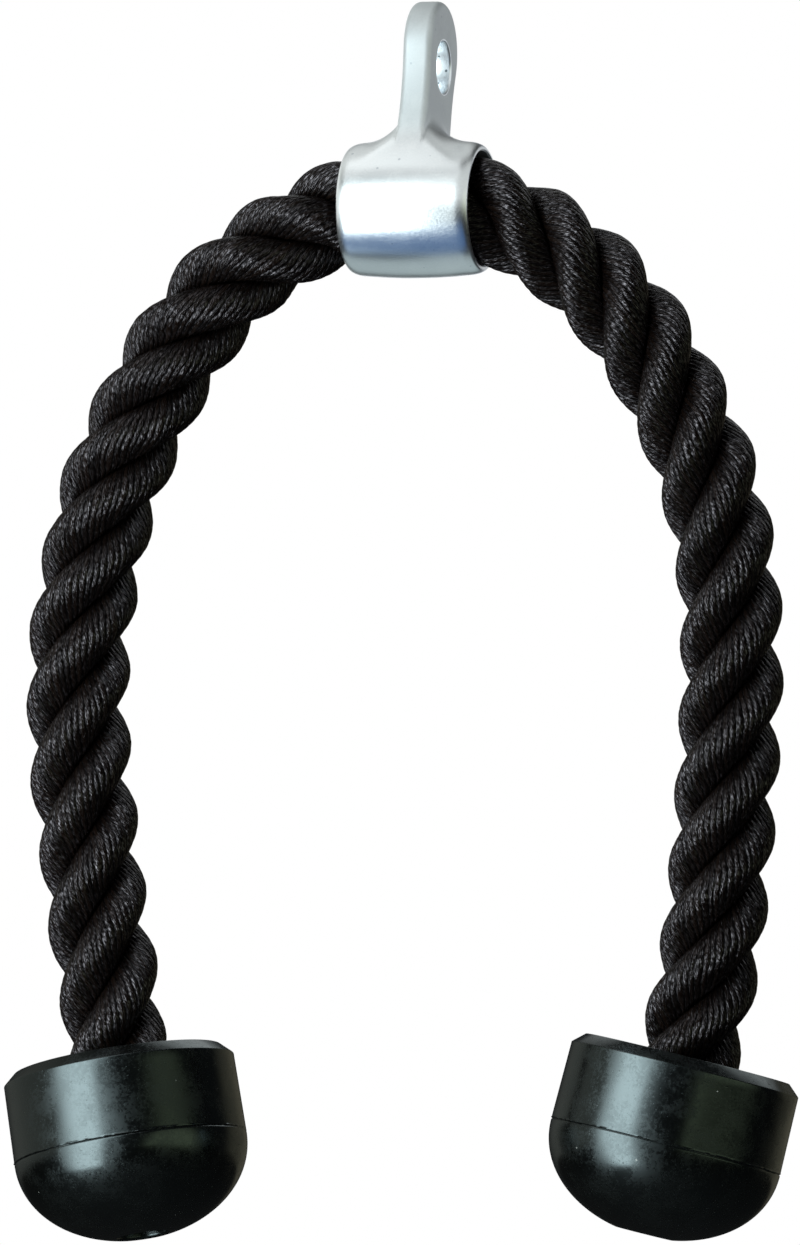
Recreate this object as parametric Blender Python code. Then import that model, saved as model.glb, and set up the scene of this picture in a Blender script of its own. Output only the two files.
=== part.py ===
"""Triceps rope: a laid rope over a cast collar with an eye, a rubber stopper on each end.

The collar hangs by its eye, whose middle is the origin. +X runs along the collar's bore
toward the right leg, +Z is up, and the rope lies in a plane square to Y.
"""

import math

import bpy
import numpy as np
from mathutils import Vector

# Clearances between neighbouring pieces
RUNNING_GAP = 0.0003
CUT_OVERRUN = 0.002

# Rope
ROPE_DIAMETER = 0.0288
LAY_PITCH = 0.0617
LAY_START = 0.0064
STRAND_GAP = 0.0003
STRANDS = 3
STRAND_LOBE_SHARE = 0.55
CROWN_HALF_RUN = 0.0240
SHOULDER_END_RUN = 0.0920
SHOULDER_HINGE_RUN = 0.0560
RINGS_PER_TURN = 12
LOBE_STEPS = 6

# Route of the rope, from the collar's middle outward, as shares of its reach and its drop
ROPE_REACH = 0.0944
ROPE_DROP = 0.2345
ROPE_CROWN_RISE = 0.0007
LEFT_ROUTE_SHARES = (
    (0.127, 0.0004), (0.259, 0.0059), (0.360, 0.0271), (0.479, 0.0555), (0.582, 0.0916),
    (0.671, 0.1341), (0.757, 0.1865), (0.819, 0.2350), (0.875, 0.2846), (0.925, 0.3406),
    (0.960, 0.4011), (0.988, 0.4649), (1.001, 0.5290), (0.998, 0.6010), (0.981, 0.6780),
    (0.955, 0.7509), (0.931, 0.8209), (0.903, 0.8817), (0.878, 0.9400), (0.860, 0.9980),
)
RIGHT_ROUTE_SHARES = (
    (0.127, 0.0004), (0.220, 0.0044), (0.321, 0.0245), (0.443, 0.0544), (0.562, 0.0959),
    (0.665, 0.1441), (0.748, 0.1965), (0.823, 0.2536), (0.881, 0.3086), (0.918, 0.3599),
    (0.949, 0.4199), (0.967, 0.4900), (0.971, 0.5690), (0.965, 0.6519), (0.955, 0.7339),
    (0.940, 0.8117), (0.919, 0.8863), (0.891, 0.9444), (0.860, 1.0000),
)
LEFT_TOE_IN = math.radians(10.0)
RIGHT_TOE_IN = math.radians(13.5)
ROUTE_SAMPLES = 4000
SLOPE_STEP = 0.0004

# Cast collar, round the rope
COLLAR_LENGTH = 0.0375
COLLAR_CLEARANCE = 0.0014
COLLAR_WALL = 0.0032
COLLAR_BORE_RADIUS = ROPE_DIAMETER / 2 + COLLAR_CLEARANCE
COLLAR_RADIUS = COLLAR_BORE_RADIUS + COLLAR_WALL
COLLAR_CROWN = 0.0011
COLLAR_RIM_ROUND = 0.0014
COLLAR_RIM_RUN = 0.0034
COLLAR_BORE_ROUND = 0.0004

# Eye plate that stands on the collar
EYE_RISE = 0.0410
EYE_HOLE_RADIUS = 0.0072
EYE_HOLE_ROUND = 0.0006
HEAD_RADIUS = 0.0140
HEAD_ABOVE_EYE = 0.0044
WAIST_RADIUS = 0.0600
PLATE_HALF_THICKNESS = 0.0042
PLATE_EDGE_ROUND = 0.0020
FOOT_FILLET_RUN = 0.0100
FOOT_FILLET_RISE = 0.0080
COLLAR_LEAN = math.radians(12)

# Rubber stopper, measured down from its flat top
STOPPER_RADIUS = 0.0322
STOPPER_MOUTH_RADIUS = 0.0319
STOPPER_CHAMFER_WIDTH = 0.0033
STOPPER_CHAMFER_DEPTH = 0.0030
STOPPER_CUP_DEPTH = 0.0246
STOPPER_DOME_DEPTH = 0.0253
STOPPER_DOME_POWER = 2.06
PARTING_BEAD_HEIGHT = 0.0003
PARTING_BEAD_WIDTH = 0.0008
DOME_STEPS = 8
ACCESS_HOLE_RADIUS = 0.0070
ACCESS_HOLE_ROUND = 0.0010

# Inside the stopper
ROPE_END_DEPTH = 0.0340
FERRULE_LENGTH = 0.0160
FERRULE_WALL = 0.0015
FERRULE_CRIMP_DEPTH = 0.0005
FERRULE_CRIMP_WIDTH = 0.0024
FERRULE_CRIMP_SHARES = (0.7, 0.3)
WASHER_THICKNESS = 0.0020
WASHER_EDGE = 0.0003
SCREW_SHANK_RADIUS = 0.0030
SCREW_SHANK_LENGTH = 0.0260
SCREW_POINT_LENGTH = 0.0060
SCREW_HEAD_ACROSS_FLATS = 0.0110
SCREW_HEAD_HEIGHT = 0.0048
SCREW_HEAD_EDGE = 0.0006
CORE_TAPER_RUN = 0.0060

# Facets of the round stretches
ROUND_STEPS = 40
SMALL_ROUND_STEPS = 24
HEAD_STEPS = 8
WAIST_STEPS = 9
COLLAR_STEPS = 10
FILLET_STEPS = 4
EDGE_STEPS = 3


def clear_scene():
    """Removes every object that the scene starts with."""
    for item in list(bpy.data.objects):
        bpy.data.objects.remove(item, do_unlink=True)


def make_material(name, colour, roughness, metallic):
    """A plain surface of one colour."""
    material = bpy.data.materials.new(name)
    material.use_nodes = True
    shader = material.node_tree.nodes["Principled BSDF"]
    shader.inputs["Base Color"].default_value = (*colour, 1.0)
    shader.inputs["Roughness"].default_value = roughness
    shader.inputs["Metallic"].default_value = metallic
    return material


def make_empty(name, place, parent=None, turn=0.0):
    """An unseen frame, turned about Y, that pieces hang from."""
    frame = bpy.data.objects.new(name, None)
    bpy.context.scene.collection.objects.link(frame)
    frame.parent = parent
    frame.location = place
    frame.rotation_euler = (0.0, turn, 0.0)
    return frame


def make_piece(name, points, faces, material, parent=None, smooth_below=50):
    """One solid from its points and faces, shaded smooth across gentle edges."""
    mesh = bpy.data.meshes.new(name)
    mesh.from_pydata([tuple(point) for point in points], [], faces)
    mesh.materials.append(material)
    mesh.shade_smooth()
    mesh.set_sharp_from_angle(angle=math.radians(smooth_below))
    piece = bpy.data.objects.new(name, mesh)
    bpy.context.scene.collection.objects.link(piece)
    piece.parent = parent
    return piece


def cut_away(piece, cutter):
    """Takes the cutter's shape out of the piece."""
    cutter.hide_render = True
    cutter.display_type = "WIRE"
    cut = piece.modifiers.new("cut_" + cutter.name, "BOOLEAN")
    cut.operation = "DIFFERENCE"
    cut.object = cutter


def grid_faces(rings, steps, first=0, closed=False):
    """Quads that join successive rings of the same number of points."""
    spans = rings if closed else rings - 1
    faces = []
    for ring in range(spans):
        here = first + ring * steps
        there = first + (ring + 1) % rings * steps
        for step in range(steps):
            other = (step + 1) % steps
            faces.append((here + step, here + other, there + other, there + step))
    return faces


def turned_solid(profile, steps):
    """Points and faces of a closed profile of (radius, height) turned round Z.

    The profile runs down its outer side and back up its inner side. Where the piece is
    solid on its axis, the profile starts and ends at radius 0.
    """
    angles = np.arange(steps) * 2 * math.pi / steps
    solid = profile[0][0] == 0
    middle = profile[1:-1] if solid else profile
    rings = [
        np.column_stack((radius * np.cos(angles), radius * np.sin(angles), np.full(steps, height)))
        for radius, height in middle
    ]
    points = np.vstack(rings)
    faces = [face[::-1] for face in grid_faces(len(rings), steps, closed=not solid)]
    if solid:
        top, bottom = len(points), len(points) + 1
        points = np.vstack((points, (0, 0, profile[0][1]), (0, 0, profile[-1][1])))
        last = (len(rings) - 1) * steps
        for step in range(steps):
            other = (step + 1) % steps
            faces.append((top, step, other))
            faces.append((bottom, last + other, last + step))
    return points, faces


def arc(centre, radius, start, end, steps):
    """Points of an arc, with its angles in degrees."""
    angles = np.radians(np.linspace(start, end, steps + 1))
    return [(centre[0] + radius * math.cos(a), centre[1] + radius * math.sin(a)) for a in angles]


def eye_outline():
    """Half of the casting's outline across the bore, from the eye's top to the collar's foot.

    A head round the eye, a hollow waist that is tangent to the head and to the collar, and
    the collar's own round. Returns the points and their outward normals.
    """
    head = EYE_RISE + HEAD_ABOVE_EYE
    to_head = HEAD_RADIUS + WAIST_RADIUS
    to_collar = COLLAR_RADIUS + WAIST_RADIUS
    waist_z = (head ** 2 + to_collar ** 2 - to_head ** 2) / (2 * head)
    waist_y = math.sqrt(to_collar ** 2 - waist_z ** 2)
    head_end = math.degrees(math.atan2(waist_z - head, waist_y))
    collar_start = math.degrees(math.atan2(waist_z, waist_y))
    over = arc((0.0, head), HEAD_RADIUS, 90, head_end, HEAD_STEPS)
    down = arc((waist_y, waist_z), WAIST_RADIUS, 180 + head_end, 180 + collar_start, WAIST_STEPS)
    under = arc((0.0, 0.0), COLLAR_RADIUS, collar_start, -90, COLLAR_STEPS)
    outline = np.array(over + down[1:] + under[1:])
    head_normals = outline[:HEAD_STEPS + 1] - (0.0, head)
    waist_normals = (waist_y, waist_z) - outline[HEAD_STEPS + 1:-COLLAR_STEPS]
    normals = np.vstack((head_normals, waist_normals, outline[-COLLAR_STEPS:]))
    return outline, normals / np.linalg.norm(normals, axis=1)[:, None]


def under_both(first, second):
    """A smooth height that stays under two others: their product over their hypotenuse."""
    span = np.hypot(first, second)
    return np.divide(first * second, span, out=np.zeros_like(span), where=span > 0)


def casting_rings():
    """Sections of the casting across its bore, from one end to the other and back inside.

    Each section has the same number of points, which stand on straight lines from the
    bore's axis: on the collar, up the foot fillet, over the cheek and round the plate's edge.
    The outer skin is crowned: it draws in toward both ends with the square of the place
    along the bore. The fillet stays under the plate's outline, so that the narrow face
    flares into the collar.
    """
    half, half_normals = eye_outline()
    mirrored = half[-2:0:-1] * (-1, 1)
    outline = np.vstack((half, mirrored))
    normals = np.vstack((half_normals, half_normals[-2:0:-1] * (-1, 1)))
    reach = np.linalg.norm(outline, axis=1)
    rays = outline / reach[:, None]
    stand = reach - COLLAR_RADIUS
    edge = np.clip(stand / (2 * PLATE_EDGE_ROUND), 0, 1)[:, None] * normals

    end = COLLAR_LENGTH / 2
    lip = COLLAR_BORE_RADIUS + COLLAR_BORE_ROUND
    rim = min(COLLAR_RIM_ROUND, COLLAR_RADIUS - COLLAR_CROWN - lip - RUNNING_GAP)
    side = end - COLLAR_RIM_RUN - PLATE_HALF_THICKNESS
    fillet_run = min(FOOT_FILLET_RUN, side - RUNNING_GAP)

    def section(x, across, crown=COLLAR_CROWN):
        """One ring of points at x, drawn in by the crown."""
        along = np.broadcast_to(x, len(across))
        drawn_in = rays * (crown * (along / end) ** 2)[:, None]
        return np.column_stack((along, across - drawn_in))

    rings = [section(-end + COLLAR_BORE_ROUND, rays * COLLAR_BORE_RADIUS, crown=0),
             section(-end, rays * lip, crown=0)]
    for turn in np.linspace(0, math.pi / 2, EDGE_STEPS + 1):
        radius = COLLAR_RADIUS - rim * (1 - math.sin(turn))
        rings.append(section(-end + COLLAR_RIM_RUN * (1 - math.cos(turn)), rays * radius))
    inner = outline - PLATE_EDGE_ROUND * edge
    inner_stand = np.linalg.norm(inner, axis=1) - COLLAR_RADIUS
    for turn in np.linspace(0, math.pi / 2, FILLET_STEPS + 1):
        height = FOOT_FILLET_RISE * (1 - math.cos(turn))
        away = fillet_run * (1 - math.sin(turn))
        lift = np.clip(under_both(height, inner_stand), 0, None)
        lift = np.where(stand > 0, lift, 0)
        rings.append(section(-PLATE_HALF_THICKNESS - away,
                             rays * (COLLAR_RADIUS + lift)[:, None]))
    for turn in np.linspace(0, math.pi / 2, EDGE_STEPS + 1):
        back = PLATE_EDGE_ROUND * (1 - math.sin(turn))
        drop = PLATE_EDGE_ROUND * (1 - math.cos(turn))
        brink = outline - back * edge
        rings.append(section(-PLATE_HALF_THICKNESS + drop, brink))
    rings += [ring * (-1, 1, 1) for ring in rings[::-1]]
    return rings


def make_collar(material):
    """The casting: a short tube with rounded rims and an upright eye on its top."""
    rings = casting_rings()
    steps = len(rings[0])
    points = np.vstack(rings) - (0, 0, EYE_RISE)
    faces = [face[::-1] for face in grid_faces(len(rings), steps, closed=True)]
    collar = make_piece("collar_and_eye", points, faces, material)
    collar.rotation_euler = (-COLLAR_LEAN, 0.0, 0.0)

    mouth = PLATE_HALF_THICKNESS - EYE_HOLE_ROUND
    flare = EYE_HOLE_RADIUS + EYE_HOLE_ROUND
    rim = arc((flare, mouth), EYE_HOLE_ROUND, 90, 180, EDGE_STEPS)
    top = mouth + EYE_HOLE_ROUND + CUT_OVERRUN
    upper = [(0.0, top), (flare, top)] + rim
    profile = upper + [(radius, -height) for radius, height in upper[::-1]]
    points, faces = turned_solid(profile, SMALL_ROUND_STEPS)
    cutter = make_piece("eye_hole_cutter", points[:, (2, 0, 1)], faces, material, collar)
    cut_away(collar, cutter)
    return collar


def curve_through(points, start_slope, end_slope):
    """Samples of a smooth curve through points in a plane, with its slopes set at both ends.

    A cubic between each pair of points, whose second derivatives are worked out so that
    the curve bends without a jump.
    """
    runs = np.concatenate(([0], np.cumsum(np.linalg.norm(np.diff(points, axis=0), axis=1))))
    gaps = np.diff(runs)
    slopes = np.diff(points, axis=0) / gaps[:, None]
    count = len(points)
    system = np.zeros((count, count))
    wanted = np.zeros((count, 2))
    system[0, :2] = 2 * gaps[0], gaps[0]
    system[-1, -2:] = gaps[-1], 2 * gaps[-1]
    wanted[0] = 6 * (slopes[0] - start_slope)
    wanted[-1] = 6 * (end_slope - slopes[-1])
    for row in range(1, count - 1):
        system[row, row - 1:row + 2] = gaps[row - 1], 2 * (gaps[row - 1] + gaps[row]), gaps[row]
        wanted[row] = 6 * (slopes[row] - slopes[row - 1])
    bends = np.linalg.solve(system, wanted)
    along = np.linspace(0, runs[-1], ROUTE_SAMPLES)
    at = np.clip(np.searchsorted(runs, along, side="right") - 1, 0, count - 2)
    gap = gaps[at][:, None]
    past = (along - runs[at])[:, None]
    left = (runs[at + 1] - along)[:, None]
    return (
        (bends[at] * left ** 3 + bends[at + 1] * past ** 3) / (6 * gap)
        + (points[at] / gap - bends[at] * gap / 6) * left
        + (points[at + 1] / gap - bends[at + 1] * gap / 6) * past
    )


class Route:
    """The rope's centre line over the collar, read by the run from the collar's middle."""

    def __init__(self):
        left = np.array(LEFT_ROUTE_SHARES) * (-ROPE_REACH, -ROPE_DROP)
        right = np.array(RIGHT_ROUTE_SHARES) * (ROPE_REACH, -ROPE_DROP)
        points = np.vstack((left[::-1], (0.0, ROPE_CROWN_RISE), right))
        self.mouths = points[0], points[-1]
        up_left = np.array((-math.sin(LEFT_TOE_IN), math.cos(LEFT_TOE_IN)))
        down_right = np.array((-math.sin(RIGHT_TOE_IN), -math.cos(RIGHT_TOE_IN)))
        curve = curve_through(points, up_left, down_right)
        ends = curve[0] - up_left * ROPE_END_DEPTH, curve[-1] + down_right * ROPE_END_DEPTH
        self.curve = np.vstack((ends[0], curve, ends[1]))
        steps = np.linalg.norm(np.diff(self.curve, axis=0), axis=1)
        run = np.concatenate(([0], np.cumsum(steps)))
        crown = np.interp(0.0, self.curve[:, 0], run)
        self.run = run - crown

    def ends(self):
        """The run of the left end and of the right end."""
        return self.run[0], self.run[-1]

    def point(self, run):
        """Places on the centre line, in the plane of the rope."""
        return np.column_stack([np.interp(run, self.run, axis) for axis in self.curve.T])

    def direction(self, run):
        """The way the rope runs at each place, from left to right."""
        low, high = self.ends()
        ahead = self.point(np.clip(run + SLOPE_STEP, low, high))
        behind = self.point(np.clip(run - SLOPE_STEP, low, high))
        way = ahead - behind
        return way / np.linalg.norm(way, axis=1)[:, None]


def strand_section(core):
    """Outline of one strand, its crest on +X, kept inside its own third of the rope.

    A lobe of the rope's outer round, cut by two flat flanks that stay half a gap inside
    the third, which meet at an inner edge. The edge stands off the rope's axis by core.
    """
    lobe = ROPE_DIAMETER / 2 * STRAND_LOBE_SHARE
    middle = ROPE_DIAMETER / 2 - lobe
    half = math.pi / STRANDS
    swing = half + math.asin((middle * math.sin(half) - STRAND_GAP / 2) / lobe)
    angles = np.linspace(-swing, swing, LOBE_STEPS + 1)
    edge = max(core, STRAND_GAP / 2 / math.sin(half))
    round_part = np.column_stack((middle + lobe * np.cos(angles), lobe * np.sin(angles)))
    return np.vstack(((edge, 0.0), round_part))


def core_at(route, run):
    """How far the strands stand off the rope's axis, to leave room for the screw."""
    low, high = route.ends()
    from_end = min(run - low, high - run)
    full = SCREW_SHANK_RADIUS + 2 * RUNNING_GAP
    screwed = SCREW_SHANK_LENGTH + RUNNING_GAP
    share = np.clip((screwed + CORE_TAPER_RUN - from_end) / CORE_TAPER_RUN, 0, 1)
    return full * share


def make_strand(name, route, start, end, number, origin, material, parent):
    """One strand of one stretch: the strand's section carried along the rope as it winds.

    Both flanks of a span are split along the diagonal that runs outward from the axis, so
    that neighbouring strands stay the same gap apart.
    """
    spans = max(2, math.ceil((end - start) / LAY_PITCH * RINGS_PER_TURN))
    runs = np.linspace(start, end, spans + 1)
    places = route.point(runs)
    ways = route.direction(runs)
    rings = []
    for run, place, way in zip(runs, places, ways):
        outline = strand_section(core_at(route, run))
        turn = 2 * math.pi * ((run - LAY_START) / LAY_PITCH + (number + 0.5) / STRANDS)
        outward = outline[:, 0] * math.cos(turn) - outline[:, 1] * math.sin(turn)
        toward = outline[:, 0] * math.sin(turn) + outline[:, 1] * math.cos(turn)
        x = place[0] - way[1] * outward
        z = place[1] + way[0] * outward
        rings.append(np.column_stack((x, -toward, z)))
    sides = len(rings[0])
    faces = [tuple(range(sides))[::-1]]
    for ring in range(spans):
        here, there = ring * sides, (ring + 1) * sides
        for side in range(sides):
            other = (side + 1) % sides
            a, b, c, d = here + side, here + other, there + other, there + side
            if other == 0:
                faces += [(a, b, d), (b, c, d)]
            else:
                faces += [(a, b, c), (a, c, d)]
    faces.append(tuple(spans * sides + side for side in range(sides)))
    return make_piece(name, np.vstack(rings) - origin, faces, material, parent)


def stopper_profile():
    """Half section of a rubber stopper, (radius, height), with its flat top at height 0."""
    cup, dome = STOPPER_CUP_DEPTH, STOPPER_DOME_DEPTH
    throat = ROPE_DIAMETER / 2 + RUNNING_GAP
    pocket = throat + FERRULE_WALL + RUNNING_GAP
    pocket_top = FERRULE_LENGTH - ROPE_END_DEPTH + RUNNING_GAP
    seat = -ROPE_END_DEPTH - 2 * RUNNING_GAP - WASHER_THICKNESS
    bead = PARTING_BEAD_WIDTH / 2
    outer = [
        (throat, 0.0),
        (STOPPER_MOUTH_RADIUS - STOPPER_CHAMFER_WIDTH, 0.0),
        (STOPPER_MOUTH_RADIUS, -STOPPER_CHAMFER_DEPTH),
        (STOPPER_RADIUS, bead - cup),
        (STOPPER_RADIUS + PARTING_BEAD_HEIGHT, -cup),
        (STOPPER_RADIUS, -bead - cup),
    ]
    hole = ACCESS_HOLE_RADIUS + ACCESS_HOLE_ROUND
    power = 2 / STOPPER_DOME_POWER
    last = math.acos((hole / STOPPER_RADIUS) ** (1 / power))
    for turn in np.linspace(0, last, DOME_STEPS + 1)[1:]:
        radius = STOPPER_RADIUS * math.cos(turn) ** power
        fall = (dome - bead) * math.sin(turn) ** power
        outer.append((radius, -cup - bead - fall))
    foot = outer[-1][1]
    centre = (hole, foot + ACCESS_HOLE_ROUND)
    rim = arc(centre, ACCESS_HOLE_ROUND, -90, -180, EDGE_STEPS)[1:]
    inner = [(ACCESS_HOLE_RADIUS, seat), (pocket, seat), (pocket, pocket_top), (throat, pocket_top)]
    return outer + rim + inner


def ferrule_profile():
    """Half section of the crimped steel sleeve, with its foot at height 0."""
    inner = ROPE_DIAMETER / 2 + RUNNING_GAP
    outer = inner + FERRULE_WALL
    side = [(outer, FERRULE_LENGTH)]
    for share in FERRULE_CRIMP_SHARES:
        middle = FERRULE_LENGTH * share
        half = FERRULE_CRIMP_WIDTH / 2
        side.append((outer, middle + half))
        side.append((outer - FERRULE_CRIMP_DEPTH, middle))
        side.append((outer, middle - half))
    return side + [(outer, 0.0), (inner, 0.0), (inner, FERRULE_LENGTH)]


def washer_profile():
    """Half section of the retaining washer, with its top at height 0."""
    hole = SCREW_SHANK_RADIUS + RUNNING_GAP
    outer = ROPE_DIAMETER / 2 + RUNNING_GAP + FERRULE_WALL
    return [
        (outer - WASHER_EDGE, 0.0),
        (outer, -WASHER_EDGE),
        (outer, WASHER_EDGE - WASHER_THICKNESS),
        (outer - WASHER_EDGE, -WASHER_THICKNESS),
        (hole, -WASHER_THICKNESS),
        (hole, 0.0),
    ]


def make_turned(name, profile, steps, place, material, parent):
    """A turned piece, its axis on its parent's Z."""
    points, faces = turned_solid(profile, steps)
    piece = make_piece(name, points, faces, material, parent, smooth_below=35)
    piece.location = (0.0, 0.0, place)
    return piece


def make_lag_screw(name, place, material, parent):
    """A pointed screw with a six-sided head, the head's upper face at its parent's place."""
    flats = 6
    corner = SCREW_HEAD_ACROSS_FLATS / 2 / math.cos(math.pi / flats)
    shank = SCREW_SHANK_LENGTH + WASHER_THICKNESS + RUNNING_GAP
    sizes = [
        (SCREW_SHANK_RADIUS, shank - SCREW_POINT_LENGTH),
        (SCREW_SHANK_RADIUS, 0.0),
        (corner, 0.0),
        (corner, SCREW_HEAD_EDGE - SCREW_HEAD_HEIGHT),
        (corner - SCREW_HEAD_EDGE, -SCREW_HEAD_HEIGHT),
    ]
    turns = np.arange(2 * flats) * math.pi / flats
    flat_share = np.where(np.arange(2 * flats) % 2, math.cos(math.pi / flats), 1.0)
    rings = []
    for radius, height in sizes:
        reach = radius * (flat_share if radius > SCREW_SHANK_RADIUS else 1.0)
        rings.append(np.column_stack((reach * np.cos(turns), reach * np.sin(turns),
                                      np.full(2 * flats, height))))
    points = np.vstack(rings + [np.array([(0.0, 0.0, shank)])])
    steps = 2 * flats
    faces = [face[::-1] for face in grid_faces(len(rings), steps)]
    tip = len(points) - 1
    faces += [(tip, step, (step + 1) % steps) for step in range(steps)]
    faces.append(tuple((len(rings) - 1) * steps + step for step in range(steps))[::-1])
    screw = make_piece(name, points, faces, material, parent, smooth_below=35)
    screw.location = (0.0, 0.0, place)
    return screw


def make_rope_end(side, place, turn, parent, materials):
    """The stopper on one rope end and the ferrule, washer and screw that hold it there."""
    frame = make_empty(side + "_end_frame", place, parent, turn)
    make_turned(side + "_stopper", stopper_profile(), ROUND_STEPS, 0.0,
                materials["rubber"], frame)
    make_turned(side + "_ferrule", ferrule_profile(), SMALL_ROUND_STEPS, -ROPE_END_DEPTH,
                materials["zinc"], frame)
    under = -ROPE_END_DEPTH - RUNNING_GAP
    make_turned(side + "_washer", washer_profile(), SMALL_ROUND_STEPS, under,
                materials["zinc"], frame)
    make_lag_screw(side + "_lag_screw", under - WASHER_THICKNESS - RUNNING_GAP,
                   materials["screw"], frame)


def make_stretch(name, route, start, end, origin, material, parent):
    """The strands of one stretch of the rope, half a gap short of its neighbours."""
    short = STRAND_GAP / 2
    for number in range(STRANDS):
        make_strand(f"{name}_strand_{number + 1}", route, start + short, end - short,
                    number, origin, material, parent)


def in_plane(point):
    """A place in the rope's plane as a place in space."""
    return np.array((point[0], 0.0, point[1]))


def main():
    """Builds the whole part."""
    clear_scene()
    materials = {
        "casting": make_material("cast_metal", (0.62, 0.65, 0.68), 0.34, 1.0),
        "fibre": make_material("black_fibre", (0.018, 0.016, 0.015), 0.45, 0.0),
        "rubber": make_material("black_rubber", (0.012, 0.012, 0.012), 0.32, 0.0),
        "zinc": make_material("zinc_plate", (0.60, 0.60, 0.58), 0.40, 1.0),
        "screw": make_material("dark_steel", (0.10, 0.10, 0.10), 0.45, 1.0),
    }
    make_collar(materials["casting"])

    axis = Vector((0.0, -math.sin(COLLAR_LEAN), -math.cos(COLLAR_LEAN))) * EYE_RISE
    bore = make_empty("bore_axis", axis)
    route = Route()
    left_end, right_end = route.ends()
    here = np.zeros(3)
    fibre = materials["fibre"]
    make_stretch("crown", route, -CROWN_HALF_RUN, CROWN_HALF_RUN, here, fibre, bore)
    make_stretch("left_shoulder", route, -SHOULDER_END_RUN, -CROWN_HALF_RUN, here, fibre, bore)
    make_stretch("right_shoulder", route, CROWN_HALF_RUN, SHOULDER_END_RUN, here, fibre, bore)

    hinges = route.point(np.array((-SHOULDER_HINGE_RUN, SHOULDER_HINGE_RUN)))
    left_hinge, right_hinge = in_plane(hinges[0]), in_plane(hinges[1])
    left_mouth, right_mouth = (in_plane(mouth) for mouth in route.mouths)
    left = make_empty("left_leg_hinge", left_hinge, bore)
    right = make_empty("right_leg_hinge", right_hinge, bore)
    make_stretch("left_leg", route, left_end, -SHOULDER_END_RUN, left_hinge, fibre, left)
    make_stretch("right_leg", route, SHOULDER_END_RUN, right_end, right_hinge, fibre, right)
    make_rope_end("left", left_mouth - left_hinge, -LEFT_TOE_IN, left, materials)
    make_rope_end("right", right_mouth - right_hinge, RIGHT_TOE_IN, right, materials)
    bpy.context.view_layer.update()


main()
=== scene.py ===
"""Looks of the triceps rope: fine surfaces, finishes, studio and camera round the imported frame.

Lengths are metres, in the frame of the model: the middle of the eye is the origin, +X runs
along the collar's bore toward the right leg, and +Z is up.
"""

import logging
import math
from dataclasses import dataclass
from enum import Enum
from functools import cache

import bpy
import numpy as np
from mathutils import Matrix, Vector


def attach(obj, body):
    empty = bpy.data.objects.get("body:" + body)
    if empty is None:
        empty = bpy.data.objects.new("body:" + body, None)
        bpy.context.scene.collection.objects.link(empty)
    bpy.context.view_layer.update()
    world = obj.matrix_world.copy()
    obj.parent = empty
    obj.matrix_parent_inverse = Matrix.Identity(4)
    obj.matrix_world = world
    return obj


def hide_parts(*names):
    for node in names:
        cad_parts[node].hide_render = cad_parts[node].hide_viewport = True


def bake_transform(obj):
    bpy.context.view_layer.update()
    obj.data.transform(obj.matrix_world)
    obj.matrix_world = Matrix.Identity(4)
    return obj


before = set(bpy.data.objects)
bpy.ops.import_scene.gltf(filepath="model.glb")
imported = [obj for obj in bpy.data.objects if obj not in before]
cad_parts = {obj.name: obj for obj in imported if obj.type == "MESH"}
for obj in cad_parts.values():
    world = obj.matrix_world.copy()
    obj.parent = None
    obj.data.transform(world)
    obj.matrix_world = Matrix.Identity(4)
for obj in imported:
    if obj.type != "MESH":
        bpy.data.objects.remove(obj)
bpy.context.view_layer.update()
LOG = logging.getLogger("triceps_rope")

Points = np.ndarray
Faces = np.ndarray
Socket = bpy.types.NodeSocket
Tint = tuple[float, float, float]


class Side(Enum):
    """The two legs of the rope, as the sign of X."""

    LEFT = -1
    RIGHT = 1

    @property
    def word(self) -> str:
        """The side's name as the nodes of the frame write it."""
        return self.name.lower()


class Slot(Enum):
    """The record's material slots."""

    METAL = "cast_metal"
    FIBRE = "rope_fibre"
    RUBBER = "rubber"


class Body(Enum):
    """The moving bodies of the frame."""

    COLLAR = "collar"
    CROWN = "rope_crown"
    LEFT_LEG = "left_leg"
    RIGHT_LEG = "right_leg"

    @staticmethod
    def leg(side: Side) -> str:
        """The name of the body that a side's leg rides on."""
        return Body[f"{side.name}_LEG"].value


class Lit(Enum):
    """What a soft box lights: everything, the collar, or the rope with its stoppers."""

    ALL = "all"
    COLLAR = "collar"
    ROPE = "rope"


# Shared sizes of the frame
RUNNING_GAP = 0.0003
ROPE_DIAMETER = 0.0288
ROPE_PLANE_Y = -0.008524
BORE_AXIS = np.array((0.0, ROPE_PLANE_Y, -0.040104))
ROPE_END_DEPTH = 0.0340

# The random phases of soft waves, and a divisor's least value
PHASE_SPAN = 6.3
TINY = 1e-9


def smooth_step(value: np.ndarray, low: float, high: float) -> np.ndarray:
    """Rises from 0 at low to 1 at high along a cubic that is level at both ends."""
    share = np.clip((value - low) / (high - low), 0, 1)
    return share * share * (3 - 2 * share)


def soft_waves(place: np.ndarray, lengths: tuple[float, ...], chance: np.random.Generator,
               lines: int = 0) -> np.ndarray:
    """A gently uneven value between about -1 and 1: the mean of sines of several lengths.

    Args:
        place: Where the value is wanted, along one axis.
        lengths: The waves' lengths, in the units of place.
        chance: Draws the phase of each wave.
        lines: How many values with phases of their own to make, or 0 for a single one.

    Returns:
        The value at each place, with a column for each line.
    """
    phases = chance.uniform(0, PHASE_SPAN, (lines, len(lengths)) if lines else len(lengths))
    place = place[:, None] if lines else place
    return np.sin(math.tau * place[..., None] / np.array(lengths) + phases).mean(axis=-1)


def bell(away: np.ndarray, width: float) -> np.ndarray:
    """A normal curve of height 1 over the distance from its middle."""
    return np.exp(-0.5 * (away / width) ** 2)


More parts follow.
